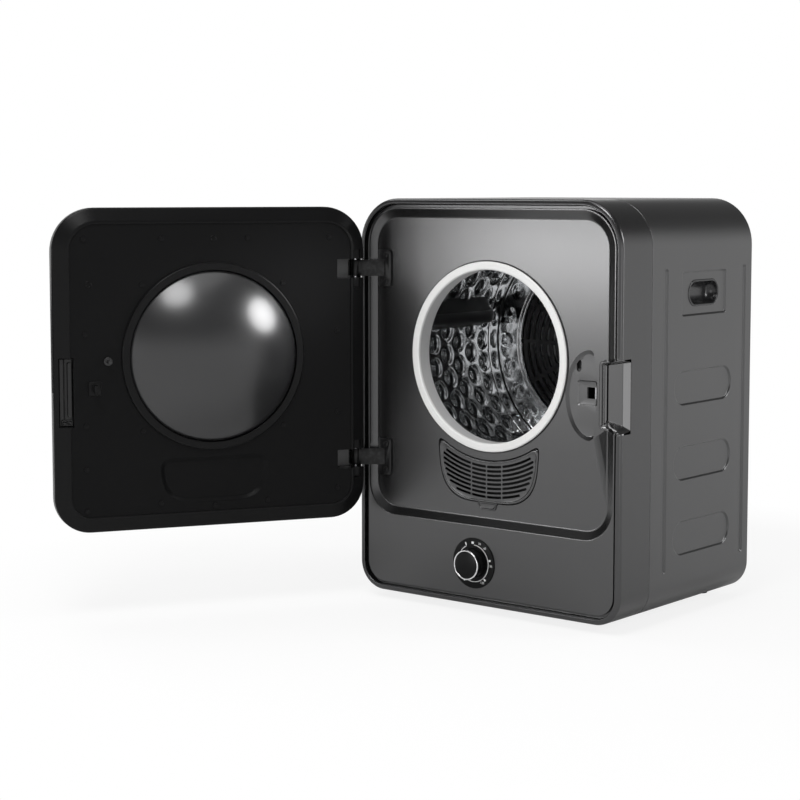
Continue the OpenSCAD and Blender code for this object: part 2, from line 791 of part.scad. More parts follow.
// A belt's outline round the drum and the pulley, each radius grown by g
belt_dx = motor_x;
belt_dz = motor_z - axis_z;
belt_span = norm([belt_dx, belt_dz]);
module belt_form(g) {
    big = drum_r + g;
    small = pulley_r + g;
    lean = asin((big - small) / belt_span);
    flat = belt_span * cos(lean);
    translate([0, axis_z]) rotate(atan2(belt_dz, belt_dx)) {
        circle(r = big);
        translate([belt_span, 0]) circle(r = small);
        polygon([[big * sin(lean), big * cos(lean)], [big * sin(lean), -big * cos(lean)],
            [belt_span + small * sin(lean), -small * cos(lean)],
            [belt_span + small * sin(lean), small * cos(lean)]]);
    }
}

module drive_belt() {
    color([0.07, 0.07, 0.07]) slab(pulley_y - belt_w / 2, pulley_y + belt_w / 2) difference() {
        belt_form(2.9);
        belt_form(slide);
    }
}

module blower_wheel() {
    y0 = blower_y0 + 6;
    y1 = blower_y1 - 8;
    color([0.82, 0.82, 0.8]) {
        difference() {
            union() {
                bar_y(wheel_r, y1 - 2, y1, motor_x, motor_z);
                bar_y(11, y0 + 8, y1, motor_x, motor_z);
            }
            bar_y(5.02, y0 - 5, y1 + 5, motor_x, motor_z);
        }
        translate([motor_x, 0, motor_z]) for (a = [0:15:345]) rotate([0, a, 0])
            block([wheel_r - 14, y0, -0.8], [wheel_r - 1, y1 - 1, 0.8]);
        tube_y(wheel_r, wheel_r - 5, y0 - 1.5, y0 + 1, motor_x, motor_z);
    }
}

module blower_housing() {
    t = 2;
    color([0.25, 0.25, 0.26]) difference() {
        union() {
            bar_y(scroll_r, blower_y0, blower_y1, motor_x, motor_z);
            block([outlet_x0 - t, blower_y0, motor_z], [outlet_x1 + t, blower_y1, outlet_top]);
            block([motor_x - 12, blower_y0 + 4, tray_z], [motor_x + 12, blower_y1 - 4, motor_z - scroll_r + 5]);
        }
        bar_y(scroll_r - t, blower_y0 + t, blower_y1 - t, motor_x, motor_z);
        block([outlet_x0, blower_y0 + t, motor_z], [outlet_x1, blower_y1 - t, outlet_top - t]);
        bar_y(wheel_r - 16, blower_y0 - 5, blower_y0 + 5, motor_x, motor_z);
        bar_y(spigot_r - 2, blower_y1 - 5, blower_y1 + 5, spigot_x, spigot_z);
    }
}

module exhaust_spigot() {
    y1 = back_y + spigot_out;
    color([0.14, 0.14, 0.14]) difference() {
        union() {
            bar_y(spigot_r - 0.5, blower_y1, y1 - 1, spigot_x, spigot_z);
            bar_y(spigot_r, rear_y + sheet + 1, y1, spigot_x, spigot_z);
            bar_y(spigot_r + 5, rear_y + sheet, rear_y + sheet + 2, spigot_x, spigot_z);
        }
        bar_y(spigot_r - 2, blower_y1 - 5, y1 + 5, spigot_x, spigot_z);
    }
}

// The duct from the filter down and back to the blower
module duct_space(t) {
    back = drum_front - drum_t - 1.5;
    slab(floor_back + seat, back - t) filter_form(2.5 - t);
    block([duct_x0 + t, floor_back + seat, duct_z0 + t], [duct_x1 - t, back - t, filter_low_z + 20]);
    block([duct_x0 + t, back - t - 1, duct_z0 + t], [duct_x1 - t, plenum_y + t + 1, duct_z1 - t]);
    block([duct_x0 + t, plenum_y + t, duct_z0 + t], [motor_x + 44 - t, blower_y0 - seat, motor_z + 44 - t]);
}

module lint_duct() {
    color([0.28, 0.28, 0.29]) difference() {
        duct_space(0);
        duct_space(1.5);
        slab(floor_y, floor_back + seat + 0.2) filter_form(1);
        bar_y(wheel_r - 16, blower_y0 - 3, blower_y0 + 3, motor_x, motor_z);
        bar_y(9, plenum_y - 5, plenum_y + 5, motor_x, motor_z);
    }
}

module run_capacitor() {
    color([0.85, 0.85, 0.83]) {
        translate([-tray_x + 60, 20, tray_z]) cylinder(r = 18, h = 70);
        translate([-tray_x + 60, 20, tray_z]) cylinder(r = 4, h = 78);
    }
}

// Lint filter

module filter_cover() {
    y0 = floor_y - 1;
    first = filter_top_r(0) + 7;
    color([0.4, 0.4, 0.41]) {
        difference() {
            slab(y0, floor_back) filter_form(0);
            slab(y0 - 1, floor_back + 1) intersection() {
                difference() {
                    for (i = [0:slot_rows - 1]) translate([0, axis_z]) difference() {
                        circle(r = first + i * slot_pitch + 3.5);
                        circle(r = first + i * slot_pitch);
                    }
                    for (i = [-1:1]) translate([i * filter_rib - 1, 0]) square([2, axis_z]);
                }
                filter_form(-7);
            }
        }
        difference() {
            slab(y0 - 5, floor_y - slide) polygon(rounded([[-19, filter_low_z + 3], [-15, filter_low_z - 11],
                [15, filter_low_z - 11], [19, filter_low_z + 3]], [2, 4, 4, 2]));
            block([-11, y0 - 3.5, filter_low_z - 8], [11, y0 + 0.5, filter_low_z + 5]);
        }
    }
}

module filter_basket() {
    y0 = floor_back + 0.01;
    color([0.2, 0.2, 0.2]) slab(y0, drum_front - drum_t - 6) difference() {
        filter_form(-2);
        filter_form(-5);
    }
}

module filter_mesh() {
    y1 = drum_front - drum_t - 6;
    color([0.7, 0.7, 0.68]) slab(y1 + 0.01, y1 + 0.8) filter_form(-2);
}

// Latch and door switch

module latch_cover() {
    y0 = floor_back + 0.01;
    color([0.44, 0.44, 0.45]) difference() {
        slab(y0, y0 + 3.5) polygon(latch_edge(4));
        slab(y0 - 1, y0 + 1.5) polygon(latch_edge(0.5));
        slab(y0 - 1, y0 + 5) translate([switch_x, switch_z]) rotate(90) oblong(17, 8);
        block([hook_x - 7, y0 - 1, hook_z - 10], [latch_x - 3, y0 + 5, hook_z + 10]);
    }
}

module latch_catch() {
    y0 = floor_back + 3.52;
    color([0.16, 0.16, 0.17]) difference() {
        block([hook_x - 12, y0, hook_z - 18], [hook_x + 16.5, y0 + 16, hook_z + 18]);
        block([hook_x - 5, y0 - 1, hook_z - 9], [hook_x + 14.5, y0 + 14, hook_z + 9]);
    }
}

module latch_tongue() {
    y0 = floor_back + 4.5;
    color([0.78, 0.78, 0.8]) block([hook_x + 6.2, y0, hook_z - 8.6], [hook_x + 12, y0 + 9, hook_z + 8.6]);
}

module latch_hook() {
    y1 = floor_back + 10;
    color([0.1, 0.1, 0.1]) on_door() {
        block([hook_x - 3, liner_y, hook_z - 5.5], [hook_x + 3, y1, hook_z + 5.5]);
        block([hook_x - 3, y1 - 4, hook_z - 5.5], [hook_x + 4.5, y1, hook_z + 5.5]);
        block([hook_x - 9, liner_y, hook_z - 10], [hook_x + 9, liner_y + 1.5, hook_z + 10]);
    }
}

module door_switch() {
    y0 = floor_back + 3.52;
    color([0.15, 0.15, 0.16]) difference() {
        block([switch_x - 11, y0, switch_z - 11], [switch_x + 11, y0 + 18, switch_z + 12]);
        block([switch_x - 4.5, y0 - 1, switch_z - 5], [switch_x + 4.5, y0 + 15, switch_z + 9]);
    }
}

module switch_plunger() {
    y0 = floor_back + 7;
    color([0.8, 0.15, 0.1]) block([switch_x - 4.1, y0, switch_z - 4.6], [switch_x + 4.1, y0 + 7, switch_z + 8.6]);
}

module switch_pin() {
    color([0.1, 0.1, 0.1]) on_door() {
        bar_y(3, liner_y, floor_back + 6.6, switch_x, switch_z);
        bar_y(6, liner_y, liner_y + 2, switch_x, switch_z);
    }
}

// Timer

module timer_body() {
    y0 = panel_y + sheet + 0.01;
    color([0.8, 0.8, 0.78]) difference() {
        union() {
            bar_y(25, y0 + 2, y0 + 34, knob_x, knob_z);
            block([knob_x - 30, y0, knob_z - 8], [knob_x + 30, y0 + 3, knob_z + 8]);
        }
        bar_y(3 + running, y0 - 1, y0 + 30, knob_x, knob_z);
    }
}

module dial_plate() {
    color([0.05, 0.05, 0.05]) difference() {
        bar_y(dial_r, panel_y - 1.8, panel_y - 0.01, knob_x, knob_z);
        bar_y(5, panel_y - 5, panel_y + 5, knob_x, knob_z);
    }
}

module timer_shaft() {
    color([0.75, 0.75, 0.76]) bar_y(3, panel_y - knob_h + 4, panel_y + sheet + 26, knob_x, knob_z);
}

module knob_cap() {
    y1 = panel_y - 1.8 - slide;
    y0 = y1 - knob_h;
    color([0.06, 0.06, 0.06]) difference() {
        union() {
            bar_y(knob_r, y0 + 2.5, y1, knob_x, knob_z);
            bar_y(knob_r - 2.5, y0, y1, knob_x, knob_z);
            block([knob_x - 1, y0 + 6, knob_z + knob_r - 1], [knob_x + 1, y1, knob_z + knob_r + 0.8]);
        }
        bar_y(3.02, y0 + 5, y1 + 5, knob_x, knob_z);
    }
}

module knob_ring() {
    y0 = panel_y - 1.8 - slide - knob_h;
    color([0.85, 0.85, 0.86]) tube_y(knob_r - 0.3, knob_r - 2.4, y0, y0 + 2.49, knob_x, knob_z);
}

// Hinges

// The screw places of both hinge plates
module hinge_points() {
    at_hinges() for (z = [-1, 1]) translate([leaf_x0 + leaf_w * 0.62, 0, z * (leaf_h / 2 - 8)]) children();
}

module hinge_plates() {
    color([0.07, 0.07, 0.07]) {
        difference() {
            at_hinges() slab(floor_y - 3, floor_y) polygon([[leaf_x0, -leaf_h / 2],
                [leaf_x0 + leaf_w - 2, -leaf_h / 2], [leaf_x0 + leaf_w, 6 - leaf_h / 2],
                [leaf_x0 + leaf_w, leaf_h / 2 - 6], [leaf_x0 + leaf_w - 2, leaf_h / 2], [leaf_x0, leaf_h / 2]]);
            hinge_points() bar_y(2.2, floor_y - 5, floor_y + 5);
        }
        at_hinges() difference() {
            union() {
                translate([hinge_x, hinge_y, -arm_h / 2]) cylinder(r = eye_r, h = arm_h);
                translate([hinge_x, hinge_y, 0]) rotate([0, 0, arm_angle])
                    translate([eye_r - 1, -arm_t / 2, -arm_h / 2]) cube([arm_len - eye_r + 1, arm_t, arm_h]);
            }
            translate([hinge_x, hinge_y, -arm_h]) cylinder(r = pin_r + running, h = 2 * arm_h);
        }
    }
}

module hinge_screws() {
    color([0.6, 0.6, 0.62]) hinge_points() {
        bar_y(2.1, floor_y - 4, floor_back + 3);
        bar_y(4, floor_y - 4.8, floor_y - 3);
    }
}

module hinge_pins() {
    color([0.55, 0.55, 0.57]) on_door() at_hinges()
        translate([hinge_x, hinge_y, -arm_h / 2 - 6]) cylinder(r = pin_r, h = arm_h + 12);
}

// The leaf inside the door: two ears on the pin, joined by a plate on the door's skin
module door_leaves() {
    ear = 4;
    color([0.12, 0.12, 0.12]) on_door() at_hinges() {
        for (s = [-1, 1]) difference() {
            translate([0, 0, s * (slot_h / 2 + ear / 2)]) union() {
                translate([hinge_x, hinge_y, -ear / 2]) cylinder(r = eye_r, h = ear);
                block([hinge_x, skin_y + 0.01, -ear / 2], [slot_x1 + 22, hinge_y + 4, ear / 2]);
            }
            translate([hinge_x, hinge_y, -arm_h]) cylinder(r = pin_r, h = 2 * arm_h);
        }
        block([hinge_x + eye_r + 4, skin_y + 0.01, -slot_h / 2 - ear],
            [slot_x1 + 22, skin_y + 2.5, slot_h / 2 + ear]);
    }
}

// Space that each hinge arm needs in the door
module hinge_slots() {
    at_hinges() {
        block([-door_w / 2 - 5, skin_y, -slot_h / 2], [slot_x1, liner_y + 10, slot_h / 2]);
        block([-door_w / 2 + door_wall, skin_y, -slot_h / 2 - 4.5], [slot_x1, liner_y - liner_t - 4, slot_h / 2 + 4.5]);
        block([-door_w / 2 + 6, liner_y - 9, -leaf_h / 2 - 1], [-door_w / 2 + 18, liner_y + 10, leaf_h / 2 + 1]);
    }
}

// Door

module door_shell() {
    w = door_wall;
    f = door_front_y;
    color([0.34, 0.34, 0.35]) on_door() difference() {
        union() {
            door_rim([[0, door_edge_y], [0, f + 10], [1.3, f + 5], [5, f + 1.3], [10, f], [12, f],
                [12, f + 2], [10, f + 2], [6, f + 3.2], [w + 0.8, f + 6], [w, f + 10],
                [w, door_edge_y - 0.6], [bevel_w - 0.5, door_crest_y - w], [bevel_w - 0.5, liner_y - liner_t],
                [bevel_w + 3, liner_y - liner_t], [bevel_w + 3, door_crest_y], [bevel_w, door_crest_y]]);
            slab(f, f + 2) door_outline(11);
        }
        bar_y(window_r - 8, f - 5, f + 5, 0, axis_z);
        hinge_slots();
        door_grip_cut(0);
    }
}

door_grip_x = door_w / 2 - 28;
door_grip_len = 98;
// The finger slot at the door's free edge, g larger all round
module door_grip_cut(g) {
    block([door_grip_x - g, liner_y - 13 - g, grip_z - 3 - door_grip_len / 2 - g],
        [door_grip_x + 20 + g, liner_y + 10, grip_z - 3 + door_grip_len / 2 + g]);
}

module door_grip() {
    t = 1.5;
    color([0.06, 0.06, 0.06]) on_door() difference() {
        block([door_grip_x + seat, liner_y - 13 + seat, grip_z - 3 - door_grip_len / 2 + seat],
            [door_grip_x + 20 - seat, liner_y, grip_z - 3 + door_grip_len / 2 - seat]);
        block([door_grip_x + t, liner_y - 13 + t, grip_z - 3 - door_grip_len / 2 + t],
            [door_grip_x + 20 - t, liner_y + 5, grip_z - 3 + door_grip_len / 2 - t]);
    }
}

module door_liner() {
    inset = bevel_w + 3 + seat;
    color([0.08, 0.08, 0.08]) on_door() difference() {
        union() {
            slab(liner_y - liner_t, liner_y) door_outline(inset);
            for (x = [0, door_w / 2 - 50]) bar_y(5, liner_y - 1, liner_y + 0.8, x, x == 0 ? door_top - 45 : door_top - 108);
            slab(liner_y - liner_t - 3, liner_y - liner_t + 0.1) difference() {
                filter_form(6);
                filter_form(3);
            }
        }
        bar_y(dome_r + 0.2, liner_y - 10, liner_y + 5, 0, axis_z);
        slab(liner_y - 1.2, liner_y + 1) filter_form(3);
        for (p = liner_points) bar_y(2, liner_y - 10, liner_y + 5, p[0], p[1]);
        hinge_slots();
        door_grip_cut(0);
    }
}

module door_dome() {
    t = 3;
    y0 = liner_y;
    ball = (dome_r * dome_r + dome_h * dome_h) / (2 * dome_h);
    color([0.25, 0.25, 0.26]) on_door() {
        intersection() {
            translate([0, y0 - ball + dome_h, axis_z]) difference() {
                sphere(r = ball);
                sphere(r = ball - t);
            }
            bar_y(dome_r, y0, y0 + dome_h + 1, 0, axis_z);
        }
        tube_y(dome_r, dome_r - 4, y0 - liner_t - 3, y0 + 0.2, 0, axis_z);
        tube_y(dome_r + 7, dome_r - 4, y0 - liner_t - 3, y0 - liner_t - 0.01, 0, axis_z);
    }
}

module door_seal() {
    color([0.05, 0.05, 0.05]) on_door()
        tube_y(ring_r - 1.5, dome_r + 1.5, liner_y + 0.01, ring_y - seat, 0, axis_z);
}

module door_window() {
    f = door_front_y;
    color([0.15, 0.15, 0.17]) on_door() bar_y(window_r, f + 2.01, f + 5, 0, axis_z);
}

module door_trim() {
    f = door_front_y;
    color([0.6, 0.6, 0.61]) on_door() tube_y(window_r, window_r - 12, f - 2.5, f - 0.01, 0, axis_z);
}

module liner_screws() {
    color([0.2, 0.2, 0.2]) on_door() for (p = liner_points) {
        bar_y(1.9, liner_y - 8, liner_y + 0.5, p[0], p[1]);
        difference() {
            bar_y(3.6, liner_y, liner_y + 1.5, p[0], p[1]);
            block([p[0] - 2.2, liner_y + 0.8, p[1] - 0.35], [p[0] + 2.2, liner_y + 2, p[1] + 0.35]);
        }
    }
}

cabinet_shell();
front_frame();
front_panel();
rear_panel();
base_tray();
feet();
opening_ring();
drum_felt();
rear_felt();
rear_bulkhead();
bearing_bracket();
shaft_bush();
heater_box();
heater_block();
thermostats();
motor_body();
motor_cradle();
blower_housing();
lint_duct();
exhaust_spigot();
drive_belt();
timer_body();
dial_plate();
door_switch();
latch_cover();
latch_catch();
frame_grip();
side_grips();
hinge_plates();
hinge_screws();
rear_screws();
cord_gland();
run_capacitor();
drum_shell();
drum_lifters();
drum_disc();
drum_shaft();
motor_shaft();
motor_pulley();
blower_wheel();
knob_cap();
knob_ring();
timer_shaft();
filter_cover();
filter_basket();
filter_mesh();
latch_tongue();
switch_plunger();
door_shell();
door_liner();
door_dome();
door_seal();
door_window();
door_trim();
door_grip();
door_leaves();
hinge_pins();
latch_hook();
switch_pin();
liner_screws();
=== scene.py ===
# %% [markdown]
# A compact tumble dryer, dressed for its picture
#
# The dryer was first built as exact solids, and those solids are the frame here: every size and
# every joint is settled, so this script only gives each piece its finish and its finer shape.
# The order is camera and light, finishes, cabinet, opening and drum, filter and latch, the door,
# and the small parts last. The scene is in metres, X to the right, Y to the back and Z up.

# %% Load the frame
import json
import math
import bmesh
import bpy
from mathutils import Matrix, Vector


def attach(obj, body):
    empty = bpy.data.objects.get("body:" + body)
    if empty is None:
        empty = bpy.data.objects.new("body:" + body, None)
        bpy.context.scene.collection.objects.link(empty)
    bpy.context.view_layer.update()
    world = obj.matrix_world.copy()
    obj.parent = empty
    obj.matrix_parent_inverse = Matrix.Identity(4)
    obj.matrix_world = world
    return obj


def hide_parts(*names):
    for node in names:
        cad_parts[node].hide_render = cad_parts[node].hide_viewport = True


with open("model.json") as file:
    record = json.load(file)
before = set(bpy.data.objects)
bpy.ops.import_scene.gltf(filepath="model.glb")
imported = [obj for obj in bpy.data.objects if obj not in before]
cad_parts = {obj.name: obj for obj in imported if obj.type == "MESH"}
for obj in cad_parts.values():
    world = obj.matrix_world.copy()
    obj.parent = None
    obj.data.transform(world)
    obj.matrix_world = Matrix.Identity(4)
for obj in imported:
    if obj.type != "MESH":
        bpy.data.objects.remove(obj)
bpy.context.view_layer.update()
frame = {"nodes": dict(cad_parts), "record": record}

nodes = frame["nodes"]
print("nodes in the frame:", len(nodes))

# %% [markdown]
# The camera
#
# A photograph fixes where the lens stood: the vanishing directions give the two turns, and the
# size of a known edge gives the distance. The lens looks from the right of the front and a little
# from above. The small vertical shift keeps the upright edges where the photograph has them
# instead of tilting the camera further.

# %% Camera
MM = 0.001
YAW, PITCH, DISTANCE = 39.1, 5.1, 2905 * MM
LEFT_OF_MIDDLE, AIM_HEIGHT = -232 * MM, 361 * MM
AIM = Vector((LEFT_OF_MIDDLE * math.cos(math.radians(YAW)), LEFT_OF_MIDDLE * math.sin(math.radians(YAW)),
    AIM_HEIGHT))
SENSOR, FOCAL_PIXELS, PICTURE_PIXELS, SHIFT_Y = 36, 1935, 800, -0.0525

def place_camera():
    turn = Matrix.Rotation(math.radians(YAW), 4, "Z") @ Matrix.Rotation(math.radians(90 - PITCH), 4, "X")
    data = bpy.data.cameras.new("camera")
    data.lens = FOCAL_PIXELS / PICTURE_PIXELS * SENSOR
    data.sensor_width = SENSOR
    data.shift_y = SHIFT_Y
    camera = bpy.data.objects.new("camera", data)
    camera.matrix_world = Matrix.Translation(AIM) @ turn @ Matrix.Translation((0, 0, DISTANCE))
    bpy.context.collection.objects.link(camera)
    bpy.context.scene.camera = camera
    return camera

camera = place_camera()
print("camera stands at", [round(c, 3) for c in camera.matrix_world.translation])

# %% [markdown]
# Floor, sky and lamps
#
# A product picture is taken on a white sweep of paper. Here the floor is a plain pale plane, and
# the world behind it is white for the camera. Metal shows what stands round it, so the light in
# the picture is made mostly of large soft lamps. The floor must look white behind the dryer but
# still carry its shadow.

# %% Node helpers
def node_tree(owner):
    owner.use_nodes = True
    tree = owner.node_tree
    tree.nodes.clear()
    return tree

def maths(tree, kind, a, b=None, clamp=False, c=None):
    node = tree.nodes.new("ShaderNodeMath")
    node.operation = kind
    node.use_clamp = clamp
    for place, value in enumerate((a, b, c)):
        if value is None:
            continue
        if isinstance(value, (int, float)):
            node.inputs[place].default_value = value
        else:
            tree.links.new(value, node.inputs[place])
    return node.outputs[0]

def mixed(tree, share, one, other):
    mix = tree.nodes.new("ShaderNodeMixShader")
    for place, given in enumerate((share, one, other)):
        tree.links.new(given, mix.inputs[place])
    return mix.outputs[0]

# %% Floor and world
PAPER_GREY, FADE_START, FADE_END, FLOOR_WHITE = 0.86, 0.7, 2.4, 0.84

def grey(value):
    return (value, value, value, 1)

def make_floor():
    bm = bmesh.new()
    bmesh.ops.create_grid(bm, x_segments=1, y_segments=1, size=40)
    mesh = bpy.data.meshes.new("floor")
    bm.to_mesh(mesh)
    bm.free()
    floor = bpy.data.objects.new("floor", mesh)
    bpy.context.collection.objects.link(floor)
    material = bpy.data.materials.new("floor_paper")
    tree = node_tree(material)
    out = tree.nodes.new("ShaderNodeOutputMaterial")
    paper = tree.nodes.new("ShaderNodeBsdfPrincipled")
    paper.inputs["Base Color"].default_value = grey(PAPER_GREY)
    paper.inputs["Roughness"].default_value = 0.9
    glow = tree.nodes.new("ShaderNodeEmission")
    glow.inputs[0].default_value = grey(1)
    far = tree.nodes.new("ShaderNodeVectorMath")
    far.operation = "LENGTH"
    tree.links.new(tree.nodes.new("ShaderNodeTexCoord").outputs["Object"], far.inputs[0])
    fade = tree.nodes.new("ShaderNodeMapRange")
    fade.inputs["From Min"].default_value = FADE_START
    fade.inputs["From Max"].default_value = FADE_END
    tree.links.new(far.outputs["Value"], fade.inputs[0])
    path = tree.nodes.new("ShaderNodeLightPath")
    seen = maths(tree, "MAXIMUM", path.outputs["Is Camera Ray"], path.outputs["Is Glossy Ray"])
    least = maths(tree, "MULTIPLY", path.outputs["Is Camera Ray"], FLOOR_WHITE)
    white = maths(tree, "MULTIPLY_ADD", fade.outputs[0], seen, True, least)
    tree.links.new(mixed(tree, white, paper.outputs[0], glow.outputs[0]), out.inputs[0])
    mesh.materials.append(material)

make_floor()

# A light of the sky that goes from one grey at a low height to another at a greater height
def sky_ramp(tree, height, low, high):
    ramp = tree.nodes.new("ShaderNodeValToRGB")
    for element, (position, value) in zip(ramp.color_ramp.elements, (low, high)):
        element.position, element.color = position, grey(value)
    light = tree.nodes.new("ShaderNodeBackground")
    tree.links.new(height, ramp.inputs[0])
    tree.links.new(ramp.outputs[0], light.inputs[0])
    return light.outputs[0]

def make_world():
    world = bpy.data.worlds.new("studio")
    bpy.context.scene.world = world
    tree = node_tree(world)
    out = tree.nodes.new("ShaderNodeOutputWorld")
    behind = tree.nodes.new("ShaderNodeBackground")
    behind.inputs[0].default_value = grey(1)
    up = tree.nodes.new("ShaderNodeSeparateXYZ")
    tree.links.new(tree.nodes.new("ShaderNodeTexCoord").outputs["Generated"], up.inputs[0])
    sky = sky_ramp(tree, up.outputs["Z"], (0.0, 0.62), (0.55, 0.3))
    mirrored = sky_ramp(tree, up.outputs["Z"], (0.07, 1), (0.34, 0.16))
    path = tree.nodes.new("ShaderNodeLightPath")
    gloss = maths(tree, "MAXIMUM", path.outputs["Is Glossy Ray"], path.outputs["Is Transmission Ray"])
    around = mixed(tree, gloss, sky, mirrored)
    tree.links.new(mixed(tree, path.outputs["Is Camera Ray"], around, behind.outputs[0]), out.inputs[0])

make_world()
bpy.context.scene.view_settings.view_transform = "Standard"

# %% Lamps
def softbox(name, place, aim, size, power, shape="RECTANGLE", spread=180):
    data = bpy.data.lights.new(name, "AREA")
    data.shape = shape
    data.size, data.size_y = size
    data.energy = power
    data.spread = math.radians(spread)
    lamp = bpy.data.objects.new(name, data)
    lamp.location = place
    lamp.rotation_euler = (Vector(aim) - Vector(place)).to_track_quat("-Z", "Y").to_euler()
    lamp.visible_camera = False
    bpy.context.collection.objects.link(lamp)

# The first two lamps give the dome its soft spots. Two wear a grid, which narrows their light: the
# small one reaches only the dome, and the upright one the cabinet's right edge but not the door.
# The low wide lamp is what the panel mirrors.
softbox("lamp_front", (0.3, -1.56, 2.26), (-0.2, -0.3, 0.4), (1.0, 1.0), 30, "DISK")
softbox("lamp_dome", (-0.092, -0.247, 0.527), (-0.263, -0.359, 0.433), (0.15, 0.15), 0.12, "DISK", spread=60)
softbox("lamp_side", (2.15, 1.25, 1.4), (0, 0, 0.36), (0.8, 0.8), 16, "DISK")
softbox("lamp_strip", (2.35, 1.15, 0.56), (0.2, 0, 0.35), (0.5, 1.1), 6)
softbox("lamp_nose", (1.25, -0.72, 0.36), (0.4, -0.03, 0.36), (0.7, 0.9), 0.17, spread=34)
softbox("lamp_panel", (-1.2, -2.2, 0.45), (0.1, -0.17, 0.5), (0.62, 0.17), 5)
softbox("lamp_top", (0.1, -0.3, 3.0), (0, 0, 0.3), (2.0, 2.0), 18)
softbox("lamp_top_left", (-1.45, -0.35, 2.4), (0.1, -0.17, 0.4), (1.1, 1.1), 14)

# %% [markdown]
# Finishes
#
# Nearly everything here is one of four families: metallic lacquer, black moulded plastic, bare
# metal and rubber. On the real things none of them is one even colour. Lacquer has a fine flake
# and a slow drift of tone, plastic has a fine grain, metal has small rub marks. One node group
# makes that drift and grain for all of them, and a second one lightens rubbed edges, so each
# material only says how much it wants.

# %% Node groups
def group(name, sockets):
    tree = bpy.data.node_groups.new(name, "ShaderNodeTree")
    for label, way, kind, value in sockets:
        socket = tree.interface.new_socket(label, in_out=way, socket_type=kind)
        if value is not None:
            socket.default_value = value
    return tree, tree.nodes.new("NodeGroupInput"), tree.nodes.new("NodeGroupOutput")

def noise(tree, where, scale, detail):
    node = tree.nodes.new("ShaderNodeTexNoise")
    node.inputs["Detail"].default_value = detail
    tree.links.new(where, node.inputs["Vector"])
    if isinstance(scale, (int, float)):
        node.inputs["Scale"].default_value = scale
    else:
        tree.links.new(scale, node.inputs["Scale"])
    return node.outputs[0]

def make_surface_grain():
    colour, number = "NodeSocketColor", "NodeSocketFloat"
    tree, given, out = group("surface_grain", [
        ("Colour", "INPUT", colour, None), ("Drift", "INPUT", number, 0.1),
        ("Roughness", "INPUT", number, 0.4), ("Spread", "INPUT", number, 0.05),
        ("Grain", "INPUT", number, 900), ("Depth", "INPUT", number, 0.02),
        ("Colour", "OUTPUT", colour, None), ("Roughness", "OUTPUT", number, None),
        ("Normal", "OUTPUT", "NodeSocketVector", None)])
    where = tree.nodes.new("ShaderNodeTexCoord").outputs["Object"]
    cloud = noise(tree, where, 7, 3)
    speck = noise(tree, where, given.outputs["Grain"], 2)
    both = maths(tree, "ADD", maths(tree, "MULTIPLY", cloud, 1.3), maths(tree, "MULTIPLY", speck, 0.7))
    drift = maths(tree, "MULTIPLY", maths(tree, "SUBTRACT", both, 1.0), given.outputs["Drift"])
    factor = maths(tree, "ADD", drift, 1.0)
    tone = tree.nodes.new("ShaderNodeMix")
    tone.data_type = "RGBA"
    tone.blend_type = "MULTIPLY"
    tone.inputs[0].default_value = 1
    tree.links.new(given.outputs["Colour"], tone.inputs[6])
    tree.links.new(factor, tone.inputs[7])
    tree.links.new(tone.outputs[2], out.inputs["Colour"])
    spread = maths(tree, "MULTIPLY", maths(tree, "SUBTRACT", cloud, 0.5), given.outputs["Spread"])
    tree.links.new(maths(tree, "ADD", given.outputs["Roughness"], spread, True), out.inputs["Roughness"])
    bump = tree.nodes.new("ShaderNodeBump")
    bump.inputs["Distance"].default_value = 0.0004
    tree.links.new(given.outputs["Depth"], bump.inputs["Strength"])
    tree.links.new(speck, bump.inputs["Height"])
    tree.links.new(bump.outputs[0], out.inputs["Normal"])
    return tree

def make_rubbed_edge():
    colour, number = "NodeSocketColor", "NodeSocketFloat"
    tree, given, out = group("rubbed_edge", [
        ("Colour", "INPUT", colour, None), ("Bare Colour", "INPUT", colour, None),
        ("Wear", "INPUT", number, 0.5), ("Colour", "OUTPUT", colour, None),
        ("Mask", "OUTPUT", number, None)])
    where = tree.nodes.new("ShaderNodeTexCoord").outputs["Object"]
    edge = tree.nodes.new("ShaderNodeNewGeometry").outputs["Pointiness"]
    sharp = maths(tree, "MULTIPLY", maths(tree, "SUBTRACT", edge, 0.53), 9, True)
    patchy = maths(tree, "MULTIPLY", maths(tree, "SUBTRACT", noise(tree, where, 160, 4), 0.42), 4, True)
    mask = maths(tree, "MULTIPLY", maths(tree, "MULTIPLY", sharp, patchy), given.outputs["Wear"], True)
    mix = tree.nodes.new("ShaderNodeMix")
    mix.data_type = "RGBA"
    tree.links.new(mask, mix.inputs[0])
    tree.links.new(given.outputs["Colour"], mix.inputs[6])
    tree.links.new(given.outputs["Bare Colour"], mix.inputs[7])
    tree.links.new(mix.outputs[2], out.inputs["Colour"])
    tree.links.new(mask, out.inputs["Mask"])
    return tree

surface_grain, rubbed_edge = make_surface_grain(), make_rubbed_edge()
print("groups:", [g.name for g in bpy.data.node_groups])

# %% Materials
def put_group(tree, which, **values):
    node = tree.nodes.new("ShaderNodeGroup")
    node.node_tree = which
    for label, value in values.items():
        node.inputs[label.replace("_", " ")].default_value = value
    return node

